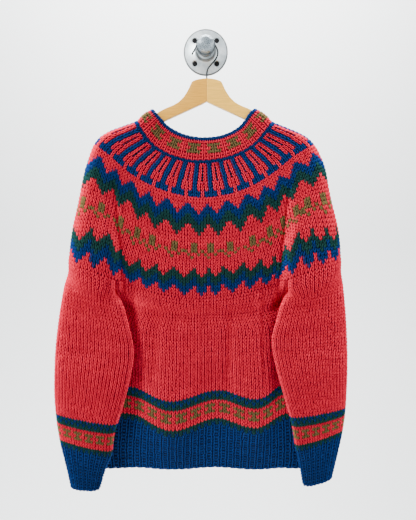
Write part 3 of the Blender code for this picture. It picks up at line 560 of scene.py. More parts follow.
def half_ring(spots, depths, at_back):
    """Line from the left fold to the right one over the front or the back, and the
    distances of the two armpit creases along it."""
    fold_y, sleeve_y, body_y, back_y, turn, back_out = depths
    layer = np.array([sleeve_y, sleeve_y, body_y + SIDE_BACK, body_y, body_y,
                      body_y, body_y + SIDE_BACK, sleeve_y, sleeve_y])
    outward_by = np.zeros(9)
    if at_back:
        layer = np.full(9, back_y)
        outward_by = np.array([0, -1, -1, -0.5, 0, 0.5, 1, 1, 0]) * back_out
    flat = np.stack([np.array(spots)[:, 0] + outward_by, np.array(spots)[:, 1]], axis=1)
    knots = lengths_along(flat)
    total = knots[-1]
    turning = turn * (1 - np.cos(np.linspace(0, math.pi / 2, TURN_STEPS)))
    places = np.concatenate((turning, np.linspace(turn, total - turn, FLAT_STEPS)[1:-1],
                             total - turning[::-1]))
    line = through(knots, np.column_stack((flat[:, 0], layer, flat[:, 1])), places)
    inset = np.minimum(places, total - places)
    opened = np.sqrt(np.clip(1 - np.clip(1 - inset / turn, 0, 1) ** 2, 0, 1))
    line[:, 1] = fold_y + (line[:, 1] - fold_y) * opened
    along = lengths_along(line)
    creases = np.interp(((knots[1] + knots[2]) / 2, (knots[6] + knots[7]) / 2), places, along)
    return line, creases


def yoke_round(row):
    """One course of the yoke, a point at the middle of each stitch, all round."""
    spots, depths = course(row)
    front, _ = half_ring(spots, depths, False)
    back, _ = half_ring(spots, depths, True)
    return np.concatenate((evenly(front, YOKE_STITCHES), evenly(back[::-1], YOKE_STITCHES)))


def outward(rings):
    """Unit normals of a tube's rings, pointing out of it."""
    along_ring = np.roll(rings, -1, axis=1) - np.roll(rings, 1, axis=1)
    normal = np.cross(along_ring, np.gradient(rings, axis=0))
    normal /= np.linalg.norm(normal, axis=2, keepdims=True)
    if ((rings - rings.mean(axis=1, keepdims=True)) * normal).sum() < 0:
        normal = -normal
    return normal


def folded(rings, folds, facing):
    """Press soft troughs into the side of a tube that faces -Y (-1) or +Y (1)."""
    rings = rings.copy()
    toward = np.clip(outward(rings)[..., 1] * facing * 1.4, 0, 1)
    for top_x, top_z, low_x, low_z, half_width, depth in folds:
        top, way = np.array((top_x, top_z)), np.array((low_x - top_x, low_z - top_z))
        flat = rings[..., [0, 2]] - top
        along = flat @ way / (way @ way)
        off = (flat[..., 0] * way[1] - flat[..., 1] * way[0]) / np.linalg.norm(way)
        ends = np.clip(1 - np.abs(2 * along - 1) ** 3, 0, 1)
        rings[..., 1] -= facing * depth * ends * np.exp(-(off / half_width) ** 2) * toward
    return rings


def on_cloth(rings, normals, column, row, height):
    """The point over a place of the cloth; beyond the edges the cloth runs on straight."""
    count, around = rings.shape[:2]
    over = np.clip(np.floor(row).astype(int), 0, count - 2)
    beside = np.floor(column).astype(int)
    down, across = (row - over)[..., None], (column - beside)[..., None]
    left, right = beside % around, (beside + 1) % around

    def read(values):
        """The value at each place, between the four around it."""
        above = values[over, left] * (1 - across) + values[over, right] * across
        below = values[over + 1, left] * (1 - across) + values[over + 1, right] * across
        return above * (1 - down) + below * down

    normal = read(normals)
    normal /= np.linalg.norm(normal, axis=-1, keepdims=True)
    return read(rings) + normal * height[..., None]


def new_mesh(name, points, faces, material):
    """A smooth mesh of triangles or of quads, made in one go."""
    mesh = bpy.data.meshes.new(name)
    mesh.vertices.add(len(points))
    mesh.vertices.foreach_set("co", (points * MM).astype(np.float32).ravel())
    mesh.loops.add(faces.size)
    mesh.loops.foreach_set("vertex_index", faces.astype(np.int32).ravel())
    mesh.polygons.add(len(faces))
    starts = np.arange(0, faces.size, faces.shape[1], dtype=np.int32)
    mesh.polygons.foreach_set("loop_start", starts)
    mesh.polygons.foreach_set("use_smooth", np.ones(len(faces), bool))
    mesh.materials.append(material)
    mesh.update(calc_edges=True)
    piece = bpy.data.objects.new(name, mesh)
    bpy.context.scene.collection.objects.link(piece)
    return piece


def paint(piece, name, kind, domain, values):
    """Store a colour or a number on each point or face."""
    field = piece.data.attributes.new(name, kind, domain)
    key = "color" if kind == "FLOAT_COLOR" else "value"
    field.data.foreach_set(key, np.asarray(values, np.float32).ravel())


def grain(tips, rings, shade=0.25):
    """A strand's visible stretch: a tip, three rings of three points, and a tip.

    Lengths are in stitch widths across and in rows down, and heights in millimetres out of
    the cloth's middle; each point's last value is its painted light: full on the crest, painted
    shade at the edges and tips."""
    points = [(*tips[0], 0.3)]
    for across, down, half_across, half_down, crest, edge in rings:
        points += [(across - half_across, down - half_down, edge, shade),
                   (across, down, crest, 1.0),
                   (across + half_across, down + half_down, edge, shade)]
    return np.array(points + [(*tips[1], shade)])


def mirrored(points):
    """The same strand on the other side of the stitch."""
    return points * (-1, 1, 1, 1)


# The right leg of a knit stitch rises from its middle to its upper corner, and stands
# steeper in a rib; a purl bump is a low arch; a float crosses behind the loops; a link of the
# cast-off chain lies along the edge and covers the rim.
LEG = grain(((0.02, 1.22, 0.7), (0.38, -0.26, 0.1)),
            # across, down, half_across, half_down, crest, edge
            ((0.11, 0.93, 0.115, 0.05, 2.6, 0.2), (0.22, 0.48, 0.145, 0.06, 3.3, -0.1),
             (0.315, 0.04, 0.12, 0.05, 2.2, 0.0)))
RIB_LEG = grain(((0.10, 1.2, 0.9), (0.36, -0.26, 0.3)),
                ((0.16, 0.93, 0.10, 0.03, 2.9, 0.2), (0.23, 0.48, 0.125, 0.03, 3.5, 0.0),
                 (0.29, 0.04, 0.11, 0.03, 2.6, 0.0)))
# Purl bumps and floats get less painted light: painted shade, as they lie deep in the cloth.
BUMP = grain(((-0.5, 0.7, 0.0), (0.5, 0.7, 0.0)),
             ((-0.3, 0.55, -0.1, 0.38, 1.2, 0.2), (0, 0.5, 0, 0.46, 1.5, 0.4),
              (0.3, 0.55, 0.1, 0.38, 1.2, 0.2)), 0.3) * (1, 1, 1, 0.6)
FLOAT = grain(((-0.52, 0.64, -0.3), (0.52, 0.64, -0.3)),
              ((-0.3, 0.46, -0.06, 0.22, 1.0, -0.3), (0, 0.36, 0, 0.26, 1.4, -0.1),
               (0.3, 0.46, 0.06, 0.22, 1.0, -0.3)), 0.0) * (1, 1, 1, 0.5)
LINK = grain(((-0.64, 0.14, 0.4), (0.64, -0.16, 0.0)),
             ((-0.36, 0.1, 0.06, 0.36, 2.6, -2.3), (0, 0, 0.08, 0.42, 3.0, -2.4),
              (0.36, -0.1, 0.06, 0.36, 2.4, -2.3)))
SIDES = [(k, (k + 1) % 3) for k in range(3)]
GRAIN_FACES = np.array([(0, 1 + a, 1 + b) for a, b in SIDES]
                       + [face for ring in (1, 4) for a, b in SIDES
                          for face in ((ring + a, ring + 3 + a, ring + 3 + b),
                                       (ring + a, ring + 3 + b, ring + b))]
                       + [(10, 7 + b, 7 + a) for a, b in SIDES])
KNIT = ((LEG, 1), (mirrored(LEG), -1))
RIB = ((RIB_LEG, 1), (mirrored(RIB_LEG), -1))
PURL = ((BUMP, 1),)
STRAND = ((FLOAT, 1),)
CHAIN = ((LINK, 1),)


UNEVEN = 0.03                 # how far hand-made stitches stray, in parts of their size
LOOSE = 0.12                  # how far they stand out or sink
ROW_TONE = 0.045              # how much the dye differs from row to row
STRAND_TONE = 0.06            # and from strand to strand


def strands(name, cloth, stitches, shape, material):
    """All the stitches of a piece as one mesh.

    stitches has a row for each: column, row, width, height of the row, yarn.  shape is the
    list of its strands, each turned the same way round when its second value is 1."""
    rings, normals = cloth
    luck = np.random.default_rng(len(stitches))
    stitches = np.array(stitches, float)
    count = len(stitches)
    column, row, width, tall, yarn = stitches.T
    tone = luck.normal(1, ROW_TONE, int(row.max()) + 2)[row.astype(int)]
    column = column + luck.normal(0, UNEVEN, count) * width
    row = row + luck.normal(0, UNEVEN, count)
    width = width * luck.normal(1, UNEVEN, count)
    colours = np.array(YARNS)[yarn.astype(int)] * tone[:, None]
    all_points, all_faces, all_light, all_shades = [], [], [], []
    for points, way in shape:
        across, down, out, light = points.T
        slip = luck.normal(0, UNEVEN, (count, 1))
        lift = luck.normal(0, LOOSE, (count, 1))
        placed = on_cloth(rings, normals, column[:, None] + across * width[:, None],
                          row[:, None] + (down + slip) * tall[:, None], out + lift)
        faces = GRAIN_FACES if way > 0 else GRAIN_FACES[:, ::-1]
        start = sum(len(part) for part in all_points)
        steps = start + np.arange(count)[:, None, None] * len(points)
        all_faces.append((faces[None] + steps).reshape(-1, 3))
        all_points.append(placed.reshape(-1, 3))
        all_light.append(np.tile(light, count))
        shades = colours * luck.normal(1, STRAND_TONE, (count, 1))
        all_shades.append(np.repeat(shades, len(light), axis=0))
    points, faces = np.concatenate(all_points), np.concatenate(all_faces)
    corners = points[faces]
    if np.einsum("ij,ij->", corners[:, 0], np.cross(corners[:, 1], corners[:, 2])) < 0:
        faces = faces[:, ::-1]
    piece = new_mesh(name, points, faces, material)
    paint(piece, "yarn", "FLOAT_COLOR", "POINT", np.concatenate(all_shades))
    # The painted light of each point, which the wool turns into painted highlight and shade.
    paint(piece, "light", "FLOAT", "POINT", np.concatenate(all_light))
    return piece


# Painted shade: the share of the yarn's colour left on the outer skin between the stitches.
SHADE_UNDER_STITCHES = 0.2          # how much light reaches the cloth between the stitches


def ground(name, cloth, yarns, material):
    """The thin cloth under the stitches: outer skin, inner skin and the two rims."""
    rings, normals = cloth
    count, around = rings.shape[:2]
    size = count * around
    points = np.concatenate([(rings + normals * out).reshape(-1, 3) for out in (SKIN, LINING)])
    ring, column = np.meshgrid(np.arange(count - 1), np.arange(around), indexing="ij")
    after = (column + 1) % around
    a, b = ring * around + column, ring * around + after
    skin = np.stack((a, a + around, b + around, b), axis=-1).reshape(-1, 4)
    column = np.arange(around)
    after = (column + 1) % around
    top = np.stack((column, after, size + after, size + column), axis=-1)
    low = size - around + np.stack((column, after))
    under = np.stack((low[0], size + low[0], size + low[1], low[1]), axis=-1)
    faces = np.concatenate((skin, skin[:, ::-1] + size, top, under))
    corners = points[faces]
    volume = sum(np.einsum("ij,ij->", corners[:, 0], np.cross(corners[:, k], corners[:, k + 1]))
                 for k in (1, 2))
    if volume < 0:
        faces = faces[:, ::-1]
    piece = new_mesh(name, points, faces, material)
    cells = np.array(YARNS)[yarns.astype(int)].reshape(-1, 4)
    rims = np.array(YARNS)[np.concatenate((yarns[0], yarns[-1])).astype(int)]
    paint(piece, "yarn", "FLOAT_COLOR", "FACE", np.concatenate((cells, cells, rims)))
    # Painted shade on the outer skin between the stitches; the inner skin and the rims keep their
    # colour.
    light = np.full(len(faces), 1.0)
    light[:len(cells)] = SHADE_UNDER_STITCHES
    paint(piece, "light", "FLOAT", "FACE", light)
    layer = piece.data.uv_layers.new(name="stitch")
    spot = faces % size
    u, v = spot % around, spot // around
    u = np.where((u == 0) & (u.max(axis=1, keepdims=True) > around // 2), around, u)
    layer.data.foreach_set("uv", np.stack((u, v), axis=-1).astype(np.float32).ravel())
    return piece


FIBRE = 1.5                   # tufts of fibre, drawn coarser than wool's own so that they show


def worsted(name):
    """Plied wool, softly spun: matt all over, patchy where its fibres lie unevenly.  The painted
    light of each point gives a painted highlight on a strand's crest and painted shade at its
    edges.
    """
    material, shader = new_material(name, 0.92)
    link = material.node_tree.links.new
    yarn = add(material, "Attribute", attribute_name="yarn").outputs["Color"]
    light = add(material, "Attribute", attribute_name="light").outputs["Fac"]
    place = add(material, "TexCoord").outputs["Object"]
    fibre = add(material, "TexNoise", {"Vector": place, "Scale": 1 / (FIBRE * MM),
                                       "Detail": 3.0})
    # Painted highlight and shade: the painted light lifts the crest above the yarn's colour and
    # darkens the edges.
    shade = add(material, "MapRange", {"Value": light, "To Min": 0.07,
                                       "To Max": 1.27}).outputs["Result"]
    patchy = add(material, "MapRange", {"Value": fibre.outputs["Fac"], "From Min": 0.3,
                                        "From Max": 0.7, "To Min": 0.82, "To Max": 1.16})
    both = add(material, "Math", {0: shade, 1: patchy.outputs["Result"]}, operation="MULTIPLY")
    dyed = add(material, "VectorMath", {0: yarn, "Scale": both.outputs[0]}, operation="SCALE")
    relief = add(material, "Bump", {"Height": fibre.outputs["Fac"], "Strength": 0.5,
                                    "Distance": 0.5 * MM})
    link(dyed.outputs[0], shader.inputs["Base Color"])
    link(relief.outputs["Normal"], shader.inputs["Normal"])
    shader.inputs["Specular IOR Level"].default_value = 0.12
    return material


ONE_BAND = math.pi / 10       # scale of a wave texture with one band to a row of stitches


def hidden_loops(name):
    """The same wool seen between the stitches and inside, where only purl bumps show, with
    painted shade in the grooves between their rows, and more between the stitches.
    """
    material, shader = new_material(name, 0.95)
    link = material.node_tree.links.new
    yarn = add(material, "Attribute", attribute_name="yarn").outputs["Color"]
    spot = add(material, "UVMap", uv_map="stitch").outputs["UV"]
    rows = add(material, "TexWave", {"Vector": spot, "Scale": ONE_BAND, "Distortion": 1.2,
                                     "Detail": 2.0, "Detail Scale": 3.0},
               bands_direction="Y")
    light = add(material, "Attribute", attribute_name="light").outputs["Fac"]
    # Painted shade: the bands of rows darken the yarn's colour in the grooves between the bumps.
    tone = add(material, "MapRange", {"Value": rows.outputs["Fac"], "To Min": 0.4, "To Max": 0.85})
    # Painted shade: the light value darkens the outer skin between the stitches.
    both = add(material, "Math", {0: tone.outputs["Result"], 1: light}, operation="MULTIPLY")
    dyed = add(material, "VectorMath", {0: yarn, "Scale": both.outputs[0]}, operation="SCALE")
    relief = add(material, "Bump", {"Height": rows.outputs["Fac"], "Strength": 0.9,
                                    "Distance": 1.2 * MM})
    link(dyed.outputs[0], shader.inputs["Base Color"])
    link(relief.outputs["Normal"], shader.inputs["Normal"])
    shader.inputs["Specular IOR Level"].default_value = 0.1
    return material


BARS = 31                     # blue bars all round
FIRST_BAR = 1.1               # where the first one stands, in stitches
BAR = 2 * YOKE_STITCHES / BARS
# What fills the way from one bar to the next: the middle and width of each column of
# stitches, as shares of it, and its yarn, down to a row.
BAR_COLUMNS = (
    (1, ((0.0, 0.25, BLUE), (0.25, 0.25, BLUE), (0.5, 0.25, BLUE), (0.75, 0.25, BLUE))),
    (2, ((0.0, 0.4, BLUE), (0.37, 0.26, RED), (0.63, 0.26, RED))),
    (7, ((0.0, 0.37, BLUE), (0.33, 0.26, RED), (0.67, 0.26, RED))),
    (10, ((0.0, 0.3, BLUE), (0.27, 0.23, RED), (0.5, 0.21, RED), (0.73, 0.23, RED))),
    (12, ((-0.25, 0.25, BLUE), (0.0, 0.25, BLUE), (0.25, 0.25, BLUE), (0.5, 0.25, RED))),
)
LADDER_ROWS = range(2, 8)     # blue floats cross the gap between the two red legs
LADDER_WIDTH = 0.2            # of the way from bar to bar
# Painted shade: in these rows the cloth under the gap between the red legs is near-black.
BARE_ROWS = slice(1, 10)      # here the cloth under a gap shows dark, and under a leg red
GAP = (0.38, 0.62)
LEGS = (0.2, 0.8)


def bar_stitches():
    """Rows 0 to 11: blue bars between red loops, each repeat with its own columns."""
    stitches, row = [], 0
    for end, columns in BAR_COLUMNS:
        for row in range(row, end):
            stitches += [(FIRST_BAR + (bar + middle) * BAR, row, width * BAR, 1, yarn)
                         for bar in range(BARS) for middle, width, yarn in columns]
        row = end
    return stitches


# The upper zigzag: red tips hang down, in stitches from the left fold, as knitted.
TIPS = (3, 10, 16, 23, 29, 36, 43, 49, 56, 63, 69, 75, 82, 88,
        94, 101, 107, 113, 120, 126, 132, 139, 145, 151, 158, 164, 170, 177)
TIP_ROW = 17
TIP_RISE = (0, 1, 2, 3)       # rows the edge lies higher, by the distance from a tip
# The olive flowers: the left column of each one's head, and the rows of a flower.
FLOWERS = (4, 10, 17, 23, 28, 35, 41, 46, 52, 59, 65, 70, 75, 79, 84,
           90, 96, 102, 108, 113, 119, 125, 131, 137, 143, 149, 155, 160, 166, 172, 178)
FLOWER = {25: (0, 1), 26: (0, 1), 27: (-2, 0, 1, 3), 28: (-1, 2), 29: (0,)}
# The green peaks of the lower zigzag, in stitches from the left fold, uneven as knitted.
PEAKS = (3, 9, 14, 20, 26, 31, 36, 42, 46, 50, 56, 61, 65, 70, 75, 79, 83, 87,
         92, 97, 102, 108, 113, 118, 123, 128, 133, 138, 143, 148, 153, 158, 163, 168, 173, 178)
PEAK_ROW = 33
VALLEY = {0: 3, 1: 2, 2: 1}   # rows a valley of it lies lower, by the distance from its middle
BAND = 3                      # rows of each colour


def lower_zigzag():
    """How many rows each column of the lower zigzag lies below a peak."""
    around = 2 * YOKE_STITCHES
    drop = np.zeros(around, int)
    for peak, following in zip(PEAKS, PEAKS[1:] + (PEAKS[0] + around,)):
        valley = (peak + following) // 2
        for column in range(peak + 1, following):
            drop[column % around] = VALLEY.get(abs(column - valley), 0)
    return drop


def yoke_chart():
    """The yarn of each stitch of rows 12 to 42, and of the ground above them."""
    around = 2 * YOKE_STITCHES
    chart = np.full((YOKE_ROWS, around), RED)
    low = lower_zigzag()
    for column in range(around):
        from_tip = min(min(abs(column - tip), around - abs(column - tip)) for tip in TIPS)
        start = TIP_ROW - TIP_RISE[from_tip]
        chart[start:start + BAND, column] = BLUE
        chart[start + BAND:start + 2 * BAND, column] = GREEN
        start = PEAK_ROW + low[column]
        chart[start:start + BAND, column] = GREEN
        chart[start + BAND:start + 2 * BAND, column] = BLUE
        share = (column - FIRST_BAR) / BAR % 1
        chart[BARE_ROWS, column] = BLUE
        if LEGS[0] < share < LEGS[1]:
            chart[BARE_ROWS, column] = RED
        # painted shade: the cloth deep in the gap
        if GAP[0] < share < GAP[1]:
            chart[BARE_ROWS, column] = GAP_SHADE
    for head in FLOWERS:
        for row, places in FLOWER.items():
            for place in places:
                chart[row, (head + place) % around] = OLIVE
    chart[[0, 10, 11]] = BLUE
    return chart


def knitted(cloth_ground, knitting, node):
    """Put a finished piece on the model in its node's place: its cloth and the stitches on it."""
    for piece in [cloth_ground] + knitting:
        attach(piece, "root")
    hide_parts(node)


wool = worsted("plied_wool_yarn")
loops = hidden_loops("knitted_wool_ground")
chart = yoke_chart()
yoke = np.array([yoke_round(row) for row in np.linspace(0, YOKE_ROWS, YOKE_ROWS + 1)])
yoke = folded(yoke, CREASES, -1)
yoke_cloth = (yoke, outward(yoke))
yoke_ground = ground("yoke_ground", yoke_cloth, chart, loops)
stitches = bar_stitches()
stitches += [(column, row, 1, 1, chart[row, column]) for row in range(BAR_ROWS, YOKE_ROWS)
             for column in range(2 * YOKE_STITCHES)]
yoke_front = [s for s in stitches if s[0] < YOKE_STITCHES]
yoke_back = [s for s in stitches if s[0] >= YOKE_STITCHES]
floats = [(FIRST_BAR + (bar + 0.5) * BAR, row, LADDER_WIDTH * BAR, 1, BLUE)
          for bar in range(BARS) for row in LADDER_ROWS]
yoke_knitting = [strands("yoke_front_stitches", yoke_cloth, yoke_front, KNIT, wool),
                 strands("yoke_back_stitches", yoke_cloth, yoke_back, KNIT, wool),
                 strands("yoke_floats", yoke_cloth, floats, STRAND, wool)]
knitted(yoke_ground, yoke_knitting, "yoke")

# ---- the body --------------------------------------------------------------------------
# A plain crimson tube knitted on from the yoke, with a patterned border above the rib.  It
# hangs in a few soft upright folds, and the border rises and falls with them.

CROTCH = 2.6                  # half the way from the body to the sleeve under the arm
CORNER = 4.0                  # how far the armpit's corners are eased aside, and down
CORNER_DROP = 1.6
STRAIGHT = 14.0               # the cloth first hangs this far straight down from its seam,
STRAIGHT_SHARE = 0.035        # which is this share of the whole piece
SIDE_STRIP = 21.6             # the front's and the back's share of the underarm's columns
FOLD_COLUMNS = (7.0, 15.5)    # the yoke's first columns at a side fold
# The three points of the underarm line: out from the front crease, depth, drop.
UNDERARM = ((6.0, -47.0, -4.0), (12.0, -35.0, -5.0), (17.0, -24.0, -4.0))
# Sections of the body, by share of the way down to the rib.
BODY_SECTIONS = (
    # share, left_x, right_x, side_z, mid_z, fold_y, side_y, mid_y, back_y, turn, waves
    (0.11, -190, 175, -502, -528, -20, -28, -58, -11, 14, 0.05),
    (0.24, -204, 191, -533, -560, -28, -43, -60, -10, 20, 0.12),
    (0.45, -212, 199, -600, -618, -27, -44, -61, -9, 20, 0.35),
    (0.75, -221, 208, -686, -694, -26, -45, -60, -8, 19, 0.85),
    (1.00, -227, 211, -768, -785, -25, -45, -57, -8, 18, 1.00),
)
# The waves above the hem: place across it, and height from -1 to 1.
HEM_WAVES = ((-230, 0.1), (-160, 1.0), (-78, -1.0), (26, 0.9), (113, -0.8), (172, 0.8),
             (215, 0.3))
WAVE_RISE = 9.0
WAVE_DEPTH = 13.0             # of the front's waves, and of the back's
BACK_WAVE_DEPTH = 1.5
WAVE_REACH = 40.0             # how far they run on over the side folds to the back
SIDE_POINTS = 10              # worked out round a side fold, and between the two folds
FACE_POINTS = 120
BODY_ROWS = 44
BORDER_ROWS = 11
STITCHES_PER_COLUMN = 3       # of the body's 44 columns
# Upright folds of the front and the back, each a trough from one place to another.
BODY_FOLDS = (
    # top_x, top_z, low_x, low_z, half_width, depth
    (52, -505, 46, -722, 10, 8.5),
    (116, -466, 121, -695, 5, 9.0),
    (166, -455, 160, -745, 28, 20.0),
    (-30, -560, -46, -700, 16, 4.0),
    (-98, -505, -112, -690, 12, 5.0),
    (-158, -470, -150, -700, 16, 12.0),
    (12, -500, 6, -600, 12, 2.5),
    (-62, -520, -74, -640, 9, 3.0),
)
BACK_FOLDS = (
    (-120, -500, -128, -690, 12, 5.0),
    (-62, -540, -50, -720, 16, 4.0),
    (18, -500, 30, -650, 12, 3.0),
    (84, -520, 78, -715, 14, 5.0),
    (140, -490, 150, -640, 9, 4.5),
)


def wave_at(x):
    """How high the waves above the hem lie, at places across it."""
    knots, heights = zip(*HEM_WAVES)
    return through(knots, heights, x)


def body_half(section, at_back):
    """Front or back of a body section, from the left side fold to the right one."""
    share, left, right, side_z, mid_z, fold_y, side_y, mid_y, back_y, turn, waves = section
    wide = right - left
    turning = turn * (1 - np.cos(np.linspace(0, math.pi / 2, SIDE_POINTS)))
    places = np.concatenate((turning, np.linspace(turn, wide - turn, FACE_POINTS)[1:-1],
                             wide - turning[::-1]))
    x = left + places
    across = np.abs(2 * places / wide - 1)
    inset = np.minimum(places, wide - places)
    opened = np.sqrt(np.clip(1 - np.clip(1 - inset / turn, 0, 1) ** 2, 0, 1))
    wave = wave_at(x) * waves
    z = mid_z + (side_z - mid_z) * across**2.2
    if at_back:
        layer = back_y - BACK_WAVE_DEPTH * wave
        z = z + WAVE_RISE * wave * np.clip(1 - inset / WAVE_REACH, 0, 1)
    else:
        layer = side_y + (mid_y - side_y) * (1 - across**3) + WAVE_DEPTH * wave * (1 - across**6)
        z = z + WAVE_RISE * wave
    return np.column_stack((x, fold_y + (layer - fold_y) * opened, z))


def body_section(section):
    """44 columns: front, right underarm, back, left underarm."""
    front = body_half(section, False)
    back = body_half(section, True)[::-1]
    half = UNDERARM_COLUMNS // 2
    parts = []
    for line, following in ((front, back), (back, front)):
        total = lengths_along(line)[-1]
        parts += [
            points_at(line, np.linspace(SIDE_STRIP, total - SIDE_STRIP, BODY_COLUMNS + 1)),
            points_at(line, np.linspace(total - SIDE_STRIP, total, half + 1)[1:]),
            points_at(following, np.linspace(0, SIDE_STRIP, half + 1)[1:-1])]
    return np.concatenate(parts)


def half_columns(line, creases):
    """37 points of the yoke's last course, meeting the armpit creases."""
    total = lengths_along(line)[-1]
    left, right = creases
    first, second = FOLD_COLUMNS
    left_part = np.concatenate(([0, first], np.linspace(second, left, SLEEVE_COLUMNS - 1)))
    right_part = np.concatenate((np.linspace(right, total - second, SLEEVE_COLUMNS - 1),
                                 [total - first, total]))
    middle = np.linspace(left, right, BODY_COLUMNS + 1)[1:-1]
    return points_at(line, np.concatenate((left_part, middle, right_part)))


def seam_ring():
    """The yoke's last course: 36 columns over the front, 36 back over the back."""
    spots, depths = course(YOKE_ROWS)
    front = half_columns(*half_ring(spots, depths, False))
    back = half_columns(*half_ring(spots, depths, True))
    return np.concatenate((front, back[-2:0:-1]))


def underarm_line(front, back, side):
    """The three points between the front crease and the back one."""
    points = []
    for k, (out, depth, drop) in enumerate(UNDERARM):
        base = front + (back - front) * (k + 1) / UNDERARM_COLUMNS
        points.append((front[0] + side * out, depth, base[2] + drop))
    return np.array(points)


def corners_aside(part):
    """Move a part's two end points in along it and down, off the armpit's corner."""
    for end, neighbour in ((0, 1), (-1, -2)):
        way = part[neighbour] - part[end]
        part[end] += way / np.linalg.norm(way) * CORNER
        part[end][2] -= CORNER_DROP
    return part


def hanging_loft(first_ring, sections, shares, knots):
    """Rings at the wanted shares of a piece that first hangs straight down from its seam."""
    below = first_ring + np.array((0.0, 0.0, -STRAIGHT))
    rings = np.array([first_ring, below] + list(sections))
    return through([0.0, STRAIGHT_SHARE] + knots, rings, shares)


def even_rows(make, first, last, rows):
    """Rings an even row apart, of what make gives for a list of shares."""
    fine = np.linspace(first, last, 4 * rows + 1)
    steps = np.linalg.norm(np.diff(make(fine), axis=0), axis=2).mean(axis=1)
    along = np.concatenate(([0.0], np.cumsum(steps)))
    return make(np.interp(np.linspace(0, along[-1], rows + 1), along, fine))


def finer(rings, times):
    """Closed rings with several columns for each one, on a smooth curve."""
    columns = rings.shape[1]
    wrapped = np.concatenate((rings[:, -2:], rings, rings[:, :3]), axis=1)
    wanted = np.arange(columns * times) / times
    curve = through(np.arange(-2, columns + 3), np.moveaxis(wrapped, 1, 0), wanted)
    return np.moveaxis(curve, 0, 1)


def border(column, row):
    """The border's yarn, by row from its top: it repeats every 4 stitches."""
    if row in (4, 6):
        return RED if column % 4 == 3 else OLIVE
    if row == 5:
        return OLIVE if column % 4 == 1 else RED
    if row in (2, 9):
        return GREEN
    if row in (0, 1, 10):
        return (BLUE, GREEN)[(column + row) % 2]
    return RED


def plain_chart(rows, around):
    """Crimson all over, with the border at the lower end."""
    chart = np.full((rows, around), RED)
    for row in range(BORDER_ROWS):
        chart[rows - BORDER_ROWS + row] = [border(column, row) for column in range(around)]
    return chart


def every_stitch(chart):
    """A knit stitch for each cell of a chart."""
    return [(column, row, 1, 1, chart[row, column]) for row in range(chart.shape[0])
            for column in range(chart.shape[1])]


seam = seam_ring()
CREASE_LEFT, CREASE_RIGHT = SLEEVE_COLUMNS, SLEEVE_COLUMNS + BODY_COLUMNS
BACK_RIGHT, BACK_LEFT = HALF_RING + CREASE_LEFT, HALF_RING + CREASE_RIGHT


def body_first_ring():
    """The body's first ring: the yoke's columns, and the underarm line at each side."""
    front = seam[CREASE_LEFT:CREASE_RIGHT + 1].copy()
    back = seam[BACK_RIGHT:BACK_LEFT + 1].copy()
    left_line = underarm_line(front[0], back[-1], -1) + (CROTCH, 0, 0)
    right_line = underarm_line(front[-1], back[0], 1) - (CROTCH, 0, 0)
    return np.concatenate((corners_aside(front), right_line, corners_aside(back),
                           left_line[::-1]))


def body_rings(shares):
    """The body's rings at the wanted shares of its height."""
    rings = hanging_loft(body_first_ring(), [body_section(s) for s in BODY_SECTIONS],
                         shares, [section[0] for section in BODY_SECTIONS])
    return finer(rings, STITCHES_PER_COLUMN)


body = even_rows(body_rings, 0.0, 1.0, BODY_ROWS)
body = folded(folded(body, CREASES + BODY_FOLDS, -1), BACK_FOLDS, 1)
body_cloth = (body, outward(body))
chart = plain_chart(BODY_ROWS, body.shape[1])
body_ground = ground("body_ground", body_cloth, chart, loops)
side_right = (BODY_COLUMNS + UNDERARM_COLUMNS // 2) * STITCHES_PER_COLUMN
side_left = side_right + body.shape[1] // 2
stitches = every_stitch(chart)
body_back = [s for s in stitches if side_right <= s[0] < side_left]
body_front = [s for s in stitches if not side_right <= s[0] < side_left]
body_knitting = [strands("body_front_stitches", body_cloth, body_front, KNIT, wool),
                 strands("body_back_stitches", body_cloth, body_back, KNIT, wool)]
knitted(body_ground, body_knitting, "body")

# ---- the hem rib -----------------------------------------------------------------------
# Blue single rib, knit on from the border and cast off: 66 knit columns stand out, and the
# purl columns between them lie back in their shade, real and painted.

HEM_SECTIONS = (              # as the body's
    (1.50, -233, 215, -836, -839, -24, -42, -50, -9, 16, 0.45),
    (2.00, -234, 215, -886, -880, -23, -39, -45, -10, 15, 0.15),
)
HEM_ROWS = 15
RIB_WIDTH = 1.65              # of a knit stitch, in columns


def ribbing(name, cloth, yarns, edge_row):
    """Single rib: knit stitches in the even columns, purl bumps in the odd ones, and the
    cast-off chain along the free edge."""
    rows, around = yarns.shape
    knit = [(column, row, RIB_WIDTH, 1, yarns[row, column]) for row in range(rows)
            for column in range(0, around, 2)]
    purl = [(column, row, 1, 1, yarns[row, column]) for row in range(rows)
            for column in range(1, around, 2)]
    links = [(column, edge_row, 2, 1, BLUE) for column in range(0, around, 2)]
    return [strands(name + "_stitches", cloth, knit, RIB, wool),
            strands(name + "_purls", cloth, purl, PURL, wool),
            strands(name + "_edge", cloth, links, CHAIN, wool)]


def hem_rings(shares):
    """The hem's rings, whose shares run on from the body's."""
    sections = (BODY_SECTIONS[-1],) + HEM_SECTIONS
    rings = through([section[0] for section in sections],
                    [body_section(section) for section in sections], shares)
    return finer(rings, STITCHES_PER_COLUMN)


hem = even_rows(hem_rings, 1.0, 2.0, HEM_ROWS)
hem_cloth = (hem, outward(hem))
chart = np.full((HEM_ROWS, hem.shape[1]), BLUE)
hem_ground = ground("hem_rib_ground", hem_cloth, chart, loops)
hem_knitting = ribbing("hem_rib", hem_cloth, chart, HEM_ROWS)
knitted(hem_ground, hem_knitting, "hem_rib")

# ---- the sleeves and cuffs -------------------------------------------------------------
# Tubes knitted down from the yoke's sides, lying flat in front of the body's edges, with
# the same border, a few shallow cross folds where they bend, and ribbed cuffs in blue.

